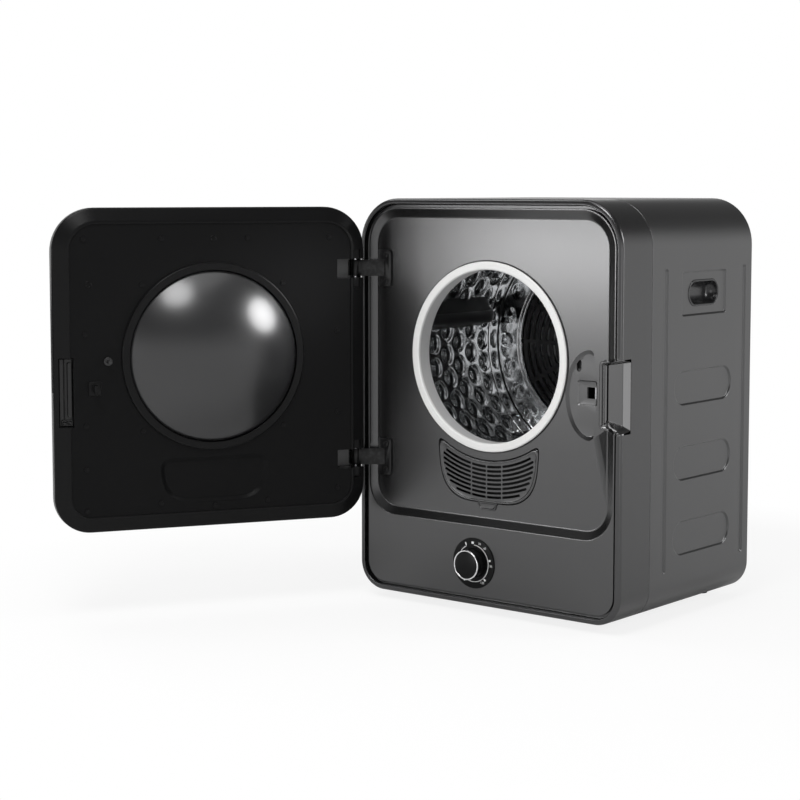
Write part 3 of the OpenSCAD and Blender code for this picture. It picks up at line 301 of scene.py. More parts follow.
def finish(name, colour, roughness, metallic=0.0, drift=0.12, spread=0.06, grain=900, depth=0.05,
        coat=0.0, coat_rough=0.1, wear=0.0, bare=(0.5, 0.5, 0.5, 1), level=0.5):
    material = bpy.data.materials.new(name)
    tree = node_tree(material)
    out = tree.nodes.new("ShaderNodeOutputMaterial")
    shader = tree.nodes.new("ShaderNodeBsdfPrincipled")
    tree.links.new(shader.outputs[0], out.inputs[0])
    grained = put_group(tree, surface_grain, Colour=(*colour, 1), Drift=drift, Roughness=roughness,
        Spread=spread, Grain=grain, Depth=depth)
    shown = grained.outputs["Colour"]
    if wear:
        rubbed = put_group(tree, rubbed_edge, Bare_Colour=bare, Wear=wear)
        tree.links.new(shown, rubbed.inputs["Colour"])
        shown = rubbed.outputs["Colour"]
    tree.links.new(shown, shader.inputs["Base Color"])
    tree.links.new(grained.outputs["Roughness"], shader.inputs["Roughness"])
    tree.links.new(grained.outputs["Normal"], shader.inputs["Normal"])
    shader.inputs["Metallic"].default_value = metallic
    shader.inputs["Coat Weight"].default_value = coat
    shader.inputs["Coat Roughness"].default_value = coat_rough
    shader.inputs["Specular IOR Level"].default_value = level
    return material

lacquer = finish("gunmetal_lacquer", (0.088, 0.088, 0.089), 0.25, metallic=0.95, drift=0.05,
    spread=0.03, grain=2600, depth=0.01, coat=0.12, coat_rough=0.15)
# A glossier copy of the lacquer for the hand notch; its lighter colour is painted light on the cup
lacquer_gloss_painted_light = finish("gunmetal_gloss_painted_light", (0.1, 0.1, 0.101), 0.16, metallic=0.95, drift=0.05,
    spread=0.03, grain=2600, depth=0.01, coat=0.5, coat_rough=0.08)
lacquer_side = finish("gunmetal_side", (0.088, 0.088, 0.089), 0.3, metallic=0.95, drift=0.06,
    spread=0.04, grain=2200, depth=0.015, coat=0.1, coat_rough=0.2)
pocket_plastic = finish("pocket_plastic", (0.02, 0.02, 0.021), 0.22, metallic=0.3, drift=0.15, spread=0.04,
    grain=1600, depth=0.03)
liner_black = finish("liner_black", (0.0045, 0.0045, 0.0047), 0.4, drift=0.3, spread=0.1, grain=1500,
    depth=0.12, level=0.08)
rim_black = finish("rim_black", (0.005, 0.005, 0.0052), 0.3, drift=0.2, spread=0.05, grain=1500, depth=0.04,
    level=0.12)
dome_dark = finish("dome_dark", (0.026, 0.026, 0.027), 0.3, metallic=0.4, drift=0.1, spread=0.02,
    grain=2000, depth=0.01, coat=0.5, coat_rough=0.22)
ring_white = finish("ring_white", (0.76, 0.76, 0.75), 0.38, drift=0.03, spread=0.05, grain=1600, depth=0.03)
# The frame's lacquer is the panel's paint made darker: painted shade on the frame's nose
lacquer_frame_painted_shade = finish("gunmetal_frame_painted_shade", (0.07, 0.07, 0.071), 0.25, metallic=0.95, drift=0.05,
    spread=0.03, grain=2600, depth=0.01, coat=0.12, coat_rough=0.15)
tongue_steel = finish("tongue_steel", (0.3, 0.3, 0.31), 0.34, metallic=1.0, drift=0.1, spread=0.08,
    grain=800, depth=0.04)
leaf_grey = finish("leaf_grey", (0.075, 0.075, 0.076), 0.45, metallic=0.4, drift=0.08, grain=1600, depth=0.05)
liner_gloss = finish("liner_gloss", (0.006, 0.006, 0.0062), 0.28, drift=0.1, grain=1500, depth=0.03,
    level=0.4)
# The ring's tube: the ring's white painted grey, as painted shade inside the opening
ring_painted_shade_grey = finish("ring_painted_shade_grey", (0.5, 0.5, 0.5), 0.5, drift=0.08, spread=0.05, grain=1600, depth=0.05)
stainless = finish("drum_stainless", (0.66, 0.67, 0.68), 0.13, metallic=1.0, drift=0.1, spread=0.06,
    grain=700, depth=0.01)
bright_ring = finish("bright_ring", (0.75, 0.75, 0.76), 0.14, metallic=1.0, drift=0.05, grain=900, depth=0.02)
plastic_black = finish("plastic_black", (0.012, 0.012, 0.0125), 0.4, drift=0.25, spread=0.1, grain=1300,
    depth=0.1)
lifter_black = finish("lifter_black", (0.018, 0.018, 0.019), 0.36, drift=0.2, spread=0.08, grain=900,
    depth=0.06)
dial_black = finish("dial_black", (0.004, 0.004, 0.0042), 0.35, drift=0.2, grain=1600, depth=0.05, level=0.12)
hinge_black = finish("hinge_black", (0.005, 0.005, 0.0052), 0.33, metallic=0.1, drift=0.1, spread=0.05,
    grain=1200, depth=0.04, level=0.25, wear=0.08, bare=(0.16, 0.16, 0.165, 1))
steel_bright = finish("steel_bright", (0.62, 0.62, 0.64), 0.22, metallic=1.0, drift=0.15, spread=0.12,
    grain=800, depth=0.05)
screw_dark = finish("screw_dark", (0.035, 0.035, 0.037), 0.3, metallic=0.7, drift=0.2, grain=900,
    depth=0.05, wear=0.6, bare=(0.35, 0.35, 0.36, 1))
rubber_black = finish("rubber_black", (0.014, 0.014, 0.014), 0.75, drift=0.35, spread=0.1, grain=500,
    depth=0.25)
zinc_sheet = finish("zinc_sheet", (0.48, 0.49, 0.5), 0.38, metallic=0.9, drift=0.35, spread=0.2, grain=90,
    depth=0.04)
felt_grey = finish("felt_grey", (0.16, 0.16, 0.155), 0.95, drift=0.5, spread=0.0, grain=1400, depth=0.9)
bronze = finish("bronze", (0.5, 0.32, 0.14), 0.35, metallic=1.0, drift=0.2, grain=700, depth=0.06)
heater_alloy = finish("heater_alloy", (0.4, 0.38, 0.35), 0.45, metallic=0.9, drift=0.3, grain=400, depth=0.1)
plastic_white = finish("plastic_white", (0.62, 0.62, 0.6), 0.45, drift=0.08, grain=1200, depth=0.05)
window_glass = finish("window_glass", (0.01, 0.011, 0.013), 0.06, drift=0.05, spread=0.01, grain=600,
    depth=0.003, coat=1.0, coat_rough=0.03)
mark_white = finish("mark_white", (0.8, 0.8, 0.8), 0.5, drift=0.05, grain=1500, depth=0.02)
print("materials:", len(bpy.data.materials))

# %% [markdown]
# Finishes on the solids
#
# Every solid keeps its exact shape unless a finer piece stands for it later. The record names a
# material slot for each solid, so one table from slot to finish dresses them all at once.

# %% Dress the solids
same_name = (zinc_sheet, rubber_black, ring_white, felt_grey, bronze, heater_alloy, plastic_black, dial_black,
    plastic_white, hinge_black, steel_bright, screw_dark, stainless, bright_ring, dome_dark, window_glass)
# The red plunger is drawn black: painted shade in the switch slot
slot_finish = {"gunmetal_steel": lacquer_side, "gunmetal_plastic": lacquer, "plunger_red": plastic_black}

def plain_name(material):
    return material.name.split(".")[0]

slot_finish.update({plain_name(material): material for material in same_name})

def dress_nodes():
    for thing in nodes.values():
        for place in thing.material_slots:
            place.material = slot_finish.get(plain_name(place.material), plastic_black)

dress_nodes()

# %% [markdown]
# Tools for the pieces
#
# A sheet metal cabinet is folded from few shapes that repeat: a section that is carried round a
# rectangle with round corners, a flat plate with holes, and a form pressed into a plate. In the
# editor one would draw the section and spin it round each corner. The helpers below do just that
# with mesh operators, in millimetres. One last helper turns a finished mesh into a piece: it
# merges doubles, sets the normals, brings it to metres and marks the sharp edges.
#
# Door pieces are drawn with the door closed, where their places are easy to state, and the last
# helper swings them open about the hinge axis, as the solids were.

# %% Sizes that many pieces share
# Each form is its width, its low and high edge, and its top and low corner radius
HINGE_X, HINGE_Y, DOOR_OPEN = -224, -198, 120
BODY = (464, 12, 600, 68, 42)
PANEL = (438, 25, 587, 55, 29)
WELL = (436, 127, 586, 54, 50)
DOOR = (464, 126, 588, 62, 52)
AXIS_Z = 374
SIDE_X = BODY[0] / 2
CREST_Y, LAND_Y, FLOOR_Y, REAR_Y = -178, -173, -167, 178
FRONT, BACK = (0, -1, 0), (0, 1, 0)
SAME = 0.003
print("width, low, high, top radius, low radius of the cabinet:", BODY)

# %% Sections and strokes
def only(kind, geometry):
    return [g for g in geometry if isinstance(g, kind)]

def chain(bm, points, closed=False):
    verts = [bm.verts.new(p) for p in points]
    pairs = list(zip(verts, verts[1:])) + ([(verts[-1], verts[0])] if closed else [])
    return [bm.edges.new(pair) for pair in pairs]

def rounded(points, cuts, steps=5):
    bent = []
    for place, (here, cut) in enumerate(zip(points, cuts)):
        if cut == 0:
            bent.append(here)
            continue
        ends = []
        for other in (points[place - 1], points[(place + 1) % len(points)]):
            share = cut / math.dist(here, other)
            ends.append([here[k] + (other[k] - here[k]) * share for k in (0, 1)])
        for t in (i / steps for i in range(steps + 1)):
            bent.append(tuple((1 - t) ** 2 * ends[0][k] + 2 * t * (1 - t) * here[k] + t * t * ends[1][k]
                for k in (0, 1)))
    return bent

def merge(bm):
    bmesh.ops.remove_doubles(bm, verts=bm.verts, dist=SAME)

def pull(bm, edges, move):
    made = bmesh.ops.extrude_edge_only(bm, edges=edges)["geom"]
    verts = set(only(bmesh.types.BMVert, made))
    bmesh.ops.translate(bm, verts=list(verts), vec=move)
    return [e for e in only(bmesh.types.BMEdge, made) if set(e.verts) <= verts]

def swing(bm, edges, centre, axis, angle, steps):
    verts = {v for e in edges for v in e.verts}
    made = bmesh.ops.spin(bm, geom=list(verts) + edges, cent=centre, axis=axis, dvec=(0, 0, 0),
        angle=math.radians(angle), steps=steps, use_duplicate=False)["geom_last"]
    return only(bmesh.types.BMEdge, made)

def corner_centres(form):
    width, low, high, top, bottom = form
    x, z = width / 2, high
    return [(x - top, z - top), (top - x, z - top), (bottom - x, low + bottom), (x - bottom, low + bottom)]

# The section runs up the right side, over the top, down the left and back along the bottom
def carry(bm, section, form, start, stop, corners=(0, 1, 2, 3), steps=14):
    centres = corner_centres(form)
    side = 1 if corners[0] == 0 else -1
    first = chain(bm, [(side * (form[0] / 2 - inset), y, start) for inset, y in section])
    edges, x, z = first, 0, start
    for corner in corners:
        cx, cz = centres[corner]
        edges = pull(bm, edges, (0, 0, cz - z) if corner in (0, 2) else (cx - x, 0, 0))
        edges = swing(bm, edges, (cx, 0, cz), FRONT, 90, steps)
        x, z = cx, cz
    return first, pull(bm, edges, (0, 0, stop - z))

def straight(bm, section, width, side, low, high):
    first = chain(bm, [(side * (width / 2 - inset), y, low) for inset, y in section])
    last = pull(bm, first, (0, 0, high - low))
    cap(bm, first)
    cap(bm, last)

# %% Plates, caps and pressed forms
def slice_at(bm, place, normal, clear=False):
    bmesh.ops.bisect_plane(bm, geom=list(bm.verts) + list(bm.edges) + list(bm.faces), dist=0.0001,
        plane_co=place, plane_no=normal, clear_outer=clear)

# Open edges that lie in one plane across the dryer's depth
def open_edges(bm, y):
    return [e for e in bm.edges if len(e.link_faces) < 2 and all(abs(v.co.y - y) < 0.001 for v in e.verts)]

def edges_among(verts):
    inside = set(verts)
    return list({e for v in verts for e in v.link_edges if set(e.verts) <= inside})

def outline(bm, form, inset, y, steps=14):
    verts = bmesh.ops.create_circle(bm, cap_ends=False, radius=1, segments=4 * (steps + 1))["verts"]
    radii = (form[3], form[3], form[4], form[4])
    for place, vert in enumerate(verts):
        quarter, step = divmod(place, steps + 1)
        angle = math.radians(90 * (quarter + step / steps))
        cx, cz = corner_centres(form)[quarter]
        r = radii[quarter] - inset
        vert.co = (cx + r * math.cos(angle), y, cz + r * math.sin(angle))
    return edges_among(verts)

def circle(bm, radius, y, x=0, z=AXIS_Z, steps=96):
    turn = Matrix.Translation((x, y, z)) @ Matrix.Rotation(math.radians(90), 4, "X")
    made = bmesh.ops.create_circle(bm, cap_ends=False, radius=radius, segments=steps, matrix=turn)
    return edges_among(made["verts"])

# A circle whose quarters are pushed apart: an oblong, or a rectangle with round corners
def oblong(bm, place, length, height, radius, on_side=0, steps=8):
    half = Matrix.Rotation(math.radians(45 / steps), 4, "Z")
    verts = bmesh.ops.create_circle(bm, cap_ends=False, radius=radius, segments=4 * steps, matrix=half)["verts"]
    for vert in verts:
        x = vert.co.x + math.copysign(length / 2 - radius, vert.co.x)
        z = vert.co.y + math.copysign(height / 2 - radius, vert.co.y)
        vert.co = Vector((0, x, z) if on_side else (x, 0, z)) + Vector(place)
    return edges_among(verts)

def fill(bm, edges):
    made = bmesh.ops.triangle_fill(bm, edges=edges, use_beauty=True, use_dissolve=False)["geom"]
    return only(bmesh.types.BMFace, made)

def cap(bm, edges):
    ends = [v for v in {v for e in edges for v in e.verts} if sum(v in e.verts for e in edges) == 1]
    closing = bm.edges.get(ends) or bm.edges.new(ends)
    return fill(bm, edges + [closing])

def face_on(bm, edges):
    return bmesh.ops.contextual_create(bm, geom=edges)["faces"][0]

# Each step goes further in by its first value and deeper by its second
def press(bm, edges, steps, away):
    face = face_on(bm, edges)
    face.normal_update()
    if face.normal.dot(Vector(away)) < 0:
        face.normal_flip()
    for thickness, depth in steps:
        bmesh.ops.inset_region(bm, faces=[face], thickness=thickness, depth=depth, use_even_offset=True,
            use_boundary=True)
    return face

def bridge(bm, one, other):
    return bmesh.ops.bridge_loops(bm, edges=one + other)["faces"]

def lathe(bm, section, steps):
    edges = chain(bm, [(r, y, AXIS_Z) for r, y in section])
    verts = {v for e in edges for v in e.verts}
    bmesh.ops.spin(bm, geom=list(verts) + edges, cent=(0, 0, AXIS_Z), axis=FRONT, dvec=(0, 0, 0),
        angle=math.radians(360), steps=steps, use_merge=True, use_duplicate=False)

# %% From mesh to piece
def show(name, mesh, finish, body, stands_for):
    mesh.materials.append(finish)
    piece = bpy.data.objects.new(name, mesh)
    bpy.context.collection.objects.link(piece)
    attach(piece, body)
    if stands_for:
        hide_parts(*stands_for)
    return piece

def make_piece(name, bm, body, finish, stands_for=(), on_door=False, facing=None, sharp=35, weld=SAME):
    bmesh.ops.remove_doubles(bm, verts=bm.verts, dist=weld)
    bmesh.ops.dissolve_degenerate(bm, edges=bm.edges, dist=weld)
    bmesh.ops.recalc_face_normals(bm, faces=bm.faces)
    if facing:
        toward = sum((f.normal * f.calc_area() for f in bm.faces), Vector())
        if toward.dot(Vector(facing)) < 0:
            bmesh.ops.reverse_faces(bm, faces=bm.faces)
    if on_door:
        bmesh.ops.rotate(bm, verts=bm.verts, cent=(HINGE_X, HINGE_Y, 0),
            matrix=Matrix.Rotation(math.radians(-DOOR_OPEN), 3, "Z"))
    bmesh.ops.scale(bm, verts=bm.verts, vec=(MM, MM, MM))
    for face in bm.faces:
        face.smooth = True
    for edge in bm.edges:
        if len(edge.link_faces) == 2 and edge.calc_face_angle(0) > math.radians(sharp):
            edge.smooth = False
    mesh = bpy.data.meshes.new(name)
    bm.to_mesh(mesh)
    bm.free()
    piece = show(name, mesh, finish, body, stands_for)
    even = piece.modifiers.new("even", "WEIGHTED_NORMAL")
    even.keep_sharp = True
    print(name, len(mesh.polygons), "faces")

node_body = {node: body for body, held in frame["record"]["behaviour"]["bodies"].items() for node in held}

# A copy of a solid whose edges get the small round that catches the light. The flat rear panel,
# with its many slots, is shaded flat.
def softened(node, width, finish=None):
    source = nodes[node]
    bm = bmesh.new()
    bm.from_mesh(source.data)
    bmesh.ops.remove_doubles(bm, verts=bm.verts, dist=0.00001)
    bmesh.ops.dissolve_limit(bm, angle_limit=math.radians(0.5), verts=bm.verts, edges=bm.edges)
    for face in bm.faces:
        face.smooth = node != "rear_panel"
    mesh = bpy.data.meshes.new(node + "_soft")
    bm.to_mesh(mesh)
    bm.free()
    piece = show(node + "_soft", mesh, finish or source.material_slots[0].material, node_body[node],
        [node])
    round_off = piece.modifiers.new("edge", "BEVEL")
    round_off.width, round_off.segments = width * MM, 2
    round_off.limit_method, round_off.angle_limit = "ANGLE", math.radians(30)
    round_off.harden_normals = True

# %% [markdown]
# Cabinet skin
#
# The cabinet is one wrapped sheet. Its section is only the small roll at the front seam, a long
# straight run to the back and the step that holds the rear panel, so it is carried once round the
# body. On both sides the flat face is then taken out and drawn again as a plate with holes, and
# each hole becomes a pressed form: two beads, three oblong fields and the straight field of the
# grip. Pressing in small steps gives each form the soft shoulder that real sheet has.

# %% Cabinet skin
SIDE_Y, GRIP_Z, FIELDS_Z, BEADS_Y = 41, 466, (116, 224, 332), (-63, 156)
PRESSED = [(0.6, -0.15), (0.8, -0.6), (0.8, -0.8), (0.7, -0.5), (0.6, -0.15)]
BEAD = [(0.7, -0.2), (1.2, -1.0), (1.0, -0.9), (0.8, -0.3)]

def make_skin():
    bm = bmesh.new()
    section = rounded([(2.6, -99.9), (0, -99.9), (0, REAR_Y), (1.4, REAR_Y), (1.4, 173), (18, 173)],
        [0, 1.3, 0.6, 0.6, 1, 0])
    carry(bm, section, BODY, 300, 300)
    merge(bm)
    for side in (1, -1):
        wall = [f for f in bm.faces if all(abs(v.co.x - side * SIDE_X) < 0.001 for v in f.verts)
            and f.calc_area() > 20000]
        rim = [e for f in wall for e in f.edges if sum(g in wall for g in e.link_faces) == 1]
        bmesh.ops.delete(bm, geom=wall, context="FACES")
        forms = [(oblong(bm, (side * SIDE_X, y, 287), 12, 433, 5.9, on_side=1), BEAD) for y in BEADS_Y]
        forms += [(oblong(bm, (side * SIDE_X, SIDE_Y, z), 161, 51, 25.4, on_side=1, steps=14), PRESSED)
            for z in FIELDS_Z]
        forms.append((oblong(bm, (side * SIDE_X, SIDE_Y, GRIP_Z), 125, 65, 5, on_side=1), PRESSED))
        rim = [e for e in rim if e.is_valid]
        fill(bm, rim + [e for loop, steps in forms for e in loop])
        for loop, steps in forms:
            floor_face = press(bm, loop, steps, (side, 0, 0))
        hole = oblong(bm, (side * 230, SIDE_Y, GRIP_Z), 80, 34, 16.9, on_side=1, steps=12)
        rim = list(floor_face.edges)
        bmesh.ops.delete(bm, geom=[floor_face], context="FACES_ONLY")
        fill(bm, rim + hole)
    make_piece("skin", bm, "base", lacquer_side, ["cabinet_shell"], sharp=40)

make_skin()

# %% [markdown]
# Grip pockets
#
# In the straight field of each side sits a moulded pocket for the fingers. It is an oblong that
# is pressed in many small steps: a raised lip first, then a wall that rolls over into the floor,
# so that the whole pocket is one smooth bowl.

# %% Grip pockets
def make_grip_pocket(side):
    bm = bmesh.new()
    lip = oblong(bm, (side * 230.05, SIDE_Y, GRIP_Z), 85.5, 38.5, 19.2, on_side=1, steps=14)
    steps = [(0.35, 0.55), (0.5, 0.35), (0.9, 0.1), (0.9, -0.1), (0.6, -0.5), (0.3, -1.4), (0.6, -2.4),
        (1.0, -2.4), (1.5, -2.3), (1.9, -2.0), (2.3, -1.6), (2.6, -1.1), (2.7, -0.6)]
    press(bm, lip, steps, (side, 0, 0))
    make_piece("grip_pocket_" + ("right" if side > 0 else "left"), bm, "base", pocket_plastic,
        ["side_grips"], sharp=50)

for side in (1, -1):
    make_grip_pocket(side)

# %% [markdown]
# Front frame
#
# A moulded frame closes the cabinet at the front. Its nose rolls from the side over a crest and
# then drops into a groove round the panel. At the right the frame is broken by the hand notch, so
# the full section stops at the notch and a low strip goes on behind it.

# %% Front frame
NOTCH = (280, 383)
nose = rounded([(2.6, -100.4), (0, -100.4), (0, CREST_Y), (8.4, CREST_Y), (8.4, -168), (20, -168)],
    [0, 1.3, 6.6, 1.5, 1.2, 0], steps=7)

def make_front_frame():
    bm = bmesh.new()
    first, last = carry(bm, nose, BODY, NOTCH[1], NOTCH[0])
    cap(bm, first)
    cap(bm, last)
    low_wall = rounded([(2.6, -100.4), (0, -100.4), (0, -153)], [0, 1.3, 0])
    strip = chain(bm, [(SIDE_X - inset, y, NOTCH[0]) for inset, y in low_wall])
    pull(bm, strip, (0, 0, NOTCH[1] - NOTCH[0]))
    make_piece("frame_nose", bm, "base", lacquer_frame_painted_shade, ["front_frame"], sharp=40)

make_front_frame()

# %% [markdown]
# Front panel
#
# The panel is a pressed sheet: a narrow land all round, a wide apron below for the knob, and the
# shallow well in which the closed door sits. The land and the well's slope are carried sections,
# and the flat parts are plates filled between their edges and the holes for the ring, the filter,
# the latch and the hand notch.

# %% Outlines of the filter and the latch
FILTER_LOW, FILTER_HIGH, FILTER_TOP_R = Vector((82, 163)), Vector((90, 254)), 150
along_side = (FILTER_HIGH - FILTER_LOW).normalized()

# The form of the filter cover, grown by some millimetres, as [x, z] points
def filter_points(grow):
    out_x, out_z = along_side.y, -along_side.x
    base = FILTER_LOW + grow * Vector((out_x, out_z))
    low = base + along_side * (FILTER_LOW.y - grow - base.y) / along_side.y
    reach = FILTER_TOP_R - grow
    away = base - Vector((0, AXIS_Z))
    mid = away.dot(along_side)
    high = base + along_side * (-mid - math.sqrt(mid * mid - away.length_squared + reach * reach))
    turn = math.degrees(math.asin(high.x / reach))
    arc = [(reach * math.sin(math.radians(turn * (1 - k / 8))),
        AXIS_Z - reach * math.cos(math.radians(turn * (1 - k / 8)))) for k in range(1, 16)]
    corners = [(-high.x, high.y), (-low.x, low.y), (low.x, low.y), (high.x, high.y)] + arc
    return rounded(corners, [17, 56, 56, 17] + [0] * 15, steps=12)

def filter_outline(bm, grow, y):
    return chain(bm, [(x, y, z) for x, z in filter_points(grow)], closed=True)

LATCH_X, LATCH_Z = 188, 330

# A half ellipse, grown by some millimetres, whose right side bends out a little and never moves
def latch_outline(bm, grow, y, steps=24):
    points = []
    for i in range(steps + 1):
        angle = math.radians(88 + 182 * i / steps)
        points.append((LATCH_X - 14 + (40.5 + grow) * math.cos(angle), LATCH_Z + (63 + grow) * math.sin(angle)))
    high, low = LATCH_Z + 60.5 + grow, LATCH_Z - 59.5 - grow
    for i in range(9):
        z = low + (high - low) * i / 8
        points.append((LATCH_X - 1.2 - 7.5 * ((z - LATCH_Z) / 62) ** 2, z))
    return chain(bm, [(x, y, z) for x, z in rounded(points, [0] * (len(points) - 1) + [2.2])], closed=True)

print("filter outline points:", len(filter_points(0)))

# %% Front panel
def make_front_panel():
    bm = bmesh.new()
    edge = rounded([(0, -168.2), (0, LAND_Y), (0.45, LAND_Y)], [0, 0.4, 0], steps=3)
    high, low = NOTCH[1] - 2, NOTCH[0] + 3
    carry(bm, edge, PANEL, high, low)
    slope = rounded([(-0.2, LAND_Y), (1.4, LAND_Y), (13, FLOOR_Y), (16, FLOOR_Y)], [0, 1.3, 2, 0])
    carry(bm, slope, WELL, high, low)
    merge(bm)
    for z in (high, low):
        chain(bm, [(218.2, LAND_Y, z), (218.55, LAND_Y, z)])
    merge(bm)
    fill(bm, open_edges(bm, LAND_Y))
    chain(bm, [(202, FLOOR_Y, high), (197.6, FLOOR_Y, high), (197.6, FLOOR_Y, low), (202, FLOOR_Y, low)])
    merge(bm)
    floor_rim = open_edges(bm, FLOOR_Y)
    holes = circle(bm, 133, FLOOR_Y) + filter_outline(bm, 0.9, FLOOR_Y) + latch_outline(bm, 0, FLOOR_Y)
    fill(bm, floor_rim + holes)
    for z in (high, low):
        rim = chain(bm, [(202, -167, z), (205, -167.1, z), (216.5, -172.8, z), (219, -172.8, z), (219, -168, z)])
        cap(bm, rim)
    make_piece("panel", bm, "base", lacquer, ["front_panel"], facing=FRONT, sharp=40)

make_front_panel()

# %% [markdown]
# Hand notch
#
# The cup in the notch starts as one slightly flared outline. Small insets raise a round lip and
# then lead down a wall to the floor. The outline reaches past the cabinet's side on purpose: the
# surplus is cut off there, so the cup is open to the side. Cuts across it give points that then
# follow the well, the crest and the nose.

# %% Hand notch
CUP_X, CUP_Z, CUP_END, CUP_FLOOR_Y = 190.5, (285.5, 379), 262, -161.6
CUP_END_Z = (270.5, 392)
CUP_STEPS = [(0.2, 1.2), (0.4, 1.4), (0.6, 0.5), (1.1, 0.1), (1.0, -0.1), (0.6, -0.5), (0.5, -1.4), (0.8, -2.4),
    (1.2, -3.0), (0.9, -0.9), (0.9, -0.35)]
CUTS_X = (201, 205, 211, 216.5, 220, 223, 224, 225, 226, 228, 229.5, 230.6, 231.3, 231.9)

def share_of(value):
    return min(1, max(0, value))

# Depth of the cabinet's own front at a given place across it: well, slope, land, crest and nose
def front_profile(x):
    places = [(190, FLOOR_Y), (205, FLOOR_Y), (216.5, LAND_Y), (223, -174), (225, CREST_Y), (226, CREST_Y)]
    if x >= 226:
        return CREST_Y + 10 * (1 - math.sqrt(max(0, 1 - ((x - 226) / 6) ** 2)))
    for (x0, y0), (x1, y1) in zip(places, places[1:]):
        if x <= x1:
            return y0 + (y1 - y0) * (x - x0) / (x1 - x0)

# The lip is low where the closed door passes over it, and the lower wall slopes up as it goes in
def make_notch_cup():
    bm = bmesh.new()
    corners = rounded([(CUP_X, CUP_Z[0]), (CUP_END, CUP_END_Z[0]), (CUP_END, CUP_END_Z[1]), (CUP_X, CUP_Z[1])],
        [7, 0, 0, 7], steps=6)
    press(bm, chain(bm, [(x, -167.2, z) for x, z in corners], closed=True), CUP_STEPS, FRONT)
    for x in CUTS_X:
        slice_at(bm, (x, 0, 0), (1, 0, 0), clear=x == CUTS_X[-1])
    for vert in bm.verts:
        x, y, z = vert.co
        lip, deep = max(0, -167.2 - y), share_of((y + 167.2) / 5.45)
        lip *= 1 - 0.8 * share_of((x - 198) / 8)
        floor_y = CUP_FLOOR_Y if x < 224 else CUP_FLOOR_Y + (x - 224)
        vert.co.y = max(CREST_Y - 0.05, (1 - deep) * (front_profile(x) - lip) + deep * floor_y)
        low_edge = CUP_Z[0] + (CUP_END_Z[0] - CUP_Z[0]) * (x - CUP_X) / (CUP_END - CUP_X)
        if z - low_edge < 9.5:
            vert.co.z += 5 * share_of((y + 169.6) / 7) * min(1, (SIDE_X - x) / 8)
    make_piece("notch_cup", bm, "base", lacquer_gloss_painted_light, ["frame_grip"], facing=FRONT,
        sharp=55)

make_notch_cup()

# %% [markdown]
# Ring and gasket
#
# The white ring round the opening is turned: a section of a rounded face and a long inner tube,
# spun once round the drum's axis. A thin dark gasket shows between it and the panel. The tube
# behind the face is painted a little greyer than the face: painted shade inside the opening.

# %% Ring and gasket
def turned(name, section, body, finish, stands_for=(), on_door=False, steps=128):
    bm = bmesh.new()
    lathe(bm, section, steps=steps)
    make_piece(name, bm, body, finish, stands_for, on_door=on_door, sharp=60)

turned("ring", rounded([(137, -167.05), (137, -171), (125, -171), (125, -166.5)], [0, 2.2, 2.6, 0],
    steps=7), "base", ring_white, ["opening_ring"])
turned("ring_tube", rounded([(125, -166.5), (125, -145), (128, -145), (128, -166)], [0, 0.8, 0.8, 0]),
    "base", ring_painted_shade_grey)
turned("ring_gasket", rounded([(136.4, FLOOR_Y), (136.4, -168.4), (138.8, -168.4), (138.8, FLOOR_Y)],
    [0, 0.9, 0.9, 0]), "base", rubber_black)

# %% [markdown]
# Drum
#
# The drum wall is stainless sheet with rows of round bosses pressed into it, which keep the
# laundry off the hot metal. The wall and the back are one fine turned sheet, and each boss is a
# smooth bump that moves the near points of the sheet inwards. The rows are staggered like a
# honeycomb. A thin dark seam runs round the back, and two thin bright beads frame the dark disc.

# %% Drum wall
DRUM_R, BACK_Y, BACK_CORNER = 194.2, 96.4, 3
FIRST_ROW_Y, ROW_GAP, LAST_ROW, PER_ROW = -110, 32, 6, 34
BOSS_ACROSS, BOSS_ALONG, BOSS_TALL = 16.5, 15.5, 5
BACK_ROW_R, BACK_COUNT, BACK_ACROSS, BACK_ALONG, BACK_TALL = 157, 24, 13, 11.5, 2.4

def bump(far):
    return 0 if far >= 1 else (1 - far * far) ** 1.1

# Angle to the nearest of a round of places that are one pitch apart
def off_centre(angle, pitch):
    return (angle + pitch / 2) % pitch - pitch / 2

def wall_boss(angle, y):
    row = round((y - FIRST_ROW_Y) / ROW_GAP)
    pitch = 360 / PER_ROW
    off = off_centre(angle - (pitch / 2 if row % 2 else 0), pitch)
    tall = 0
    for near in (row - 1, row, row + 1):
        beside = off_centre(off + (0 if (near - row) % 2 == 0 else pitch / 2), pitch)
        across = math.radians(beside) * DRUM_R / BOSS_ACROSS
        along = (y - FIRST_ROW_Y - near * ROW_GAP) / BOSS_ALONG
        tall = max(tall, BOSS_TALL * bump(math.hypot(across, along)) if 0 <= near <= LAST_ROW else 0)
    return tall

def back_boss(angle, r):
    across = math.radians(off_centre(angle, 360 / BACK_COUNT)) * BACK_ROW_R / BACK_ACROSS
    return BACK_TALL * bump(math.hypot(across, (r - BACK_ROW_R) / BACK_ALONG))

def from_axis(vert):
    return math.hypot(vert.co.x, vert.co.z - AXIS_Z)

def widen(vert, scale):
    vert.co.x *= scale
    vert.co.z = AXIS_Z + (vert.co.z - AXIS_Z) * scale

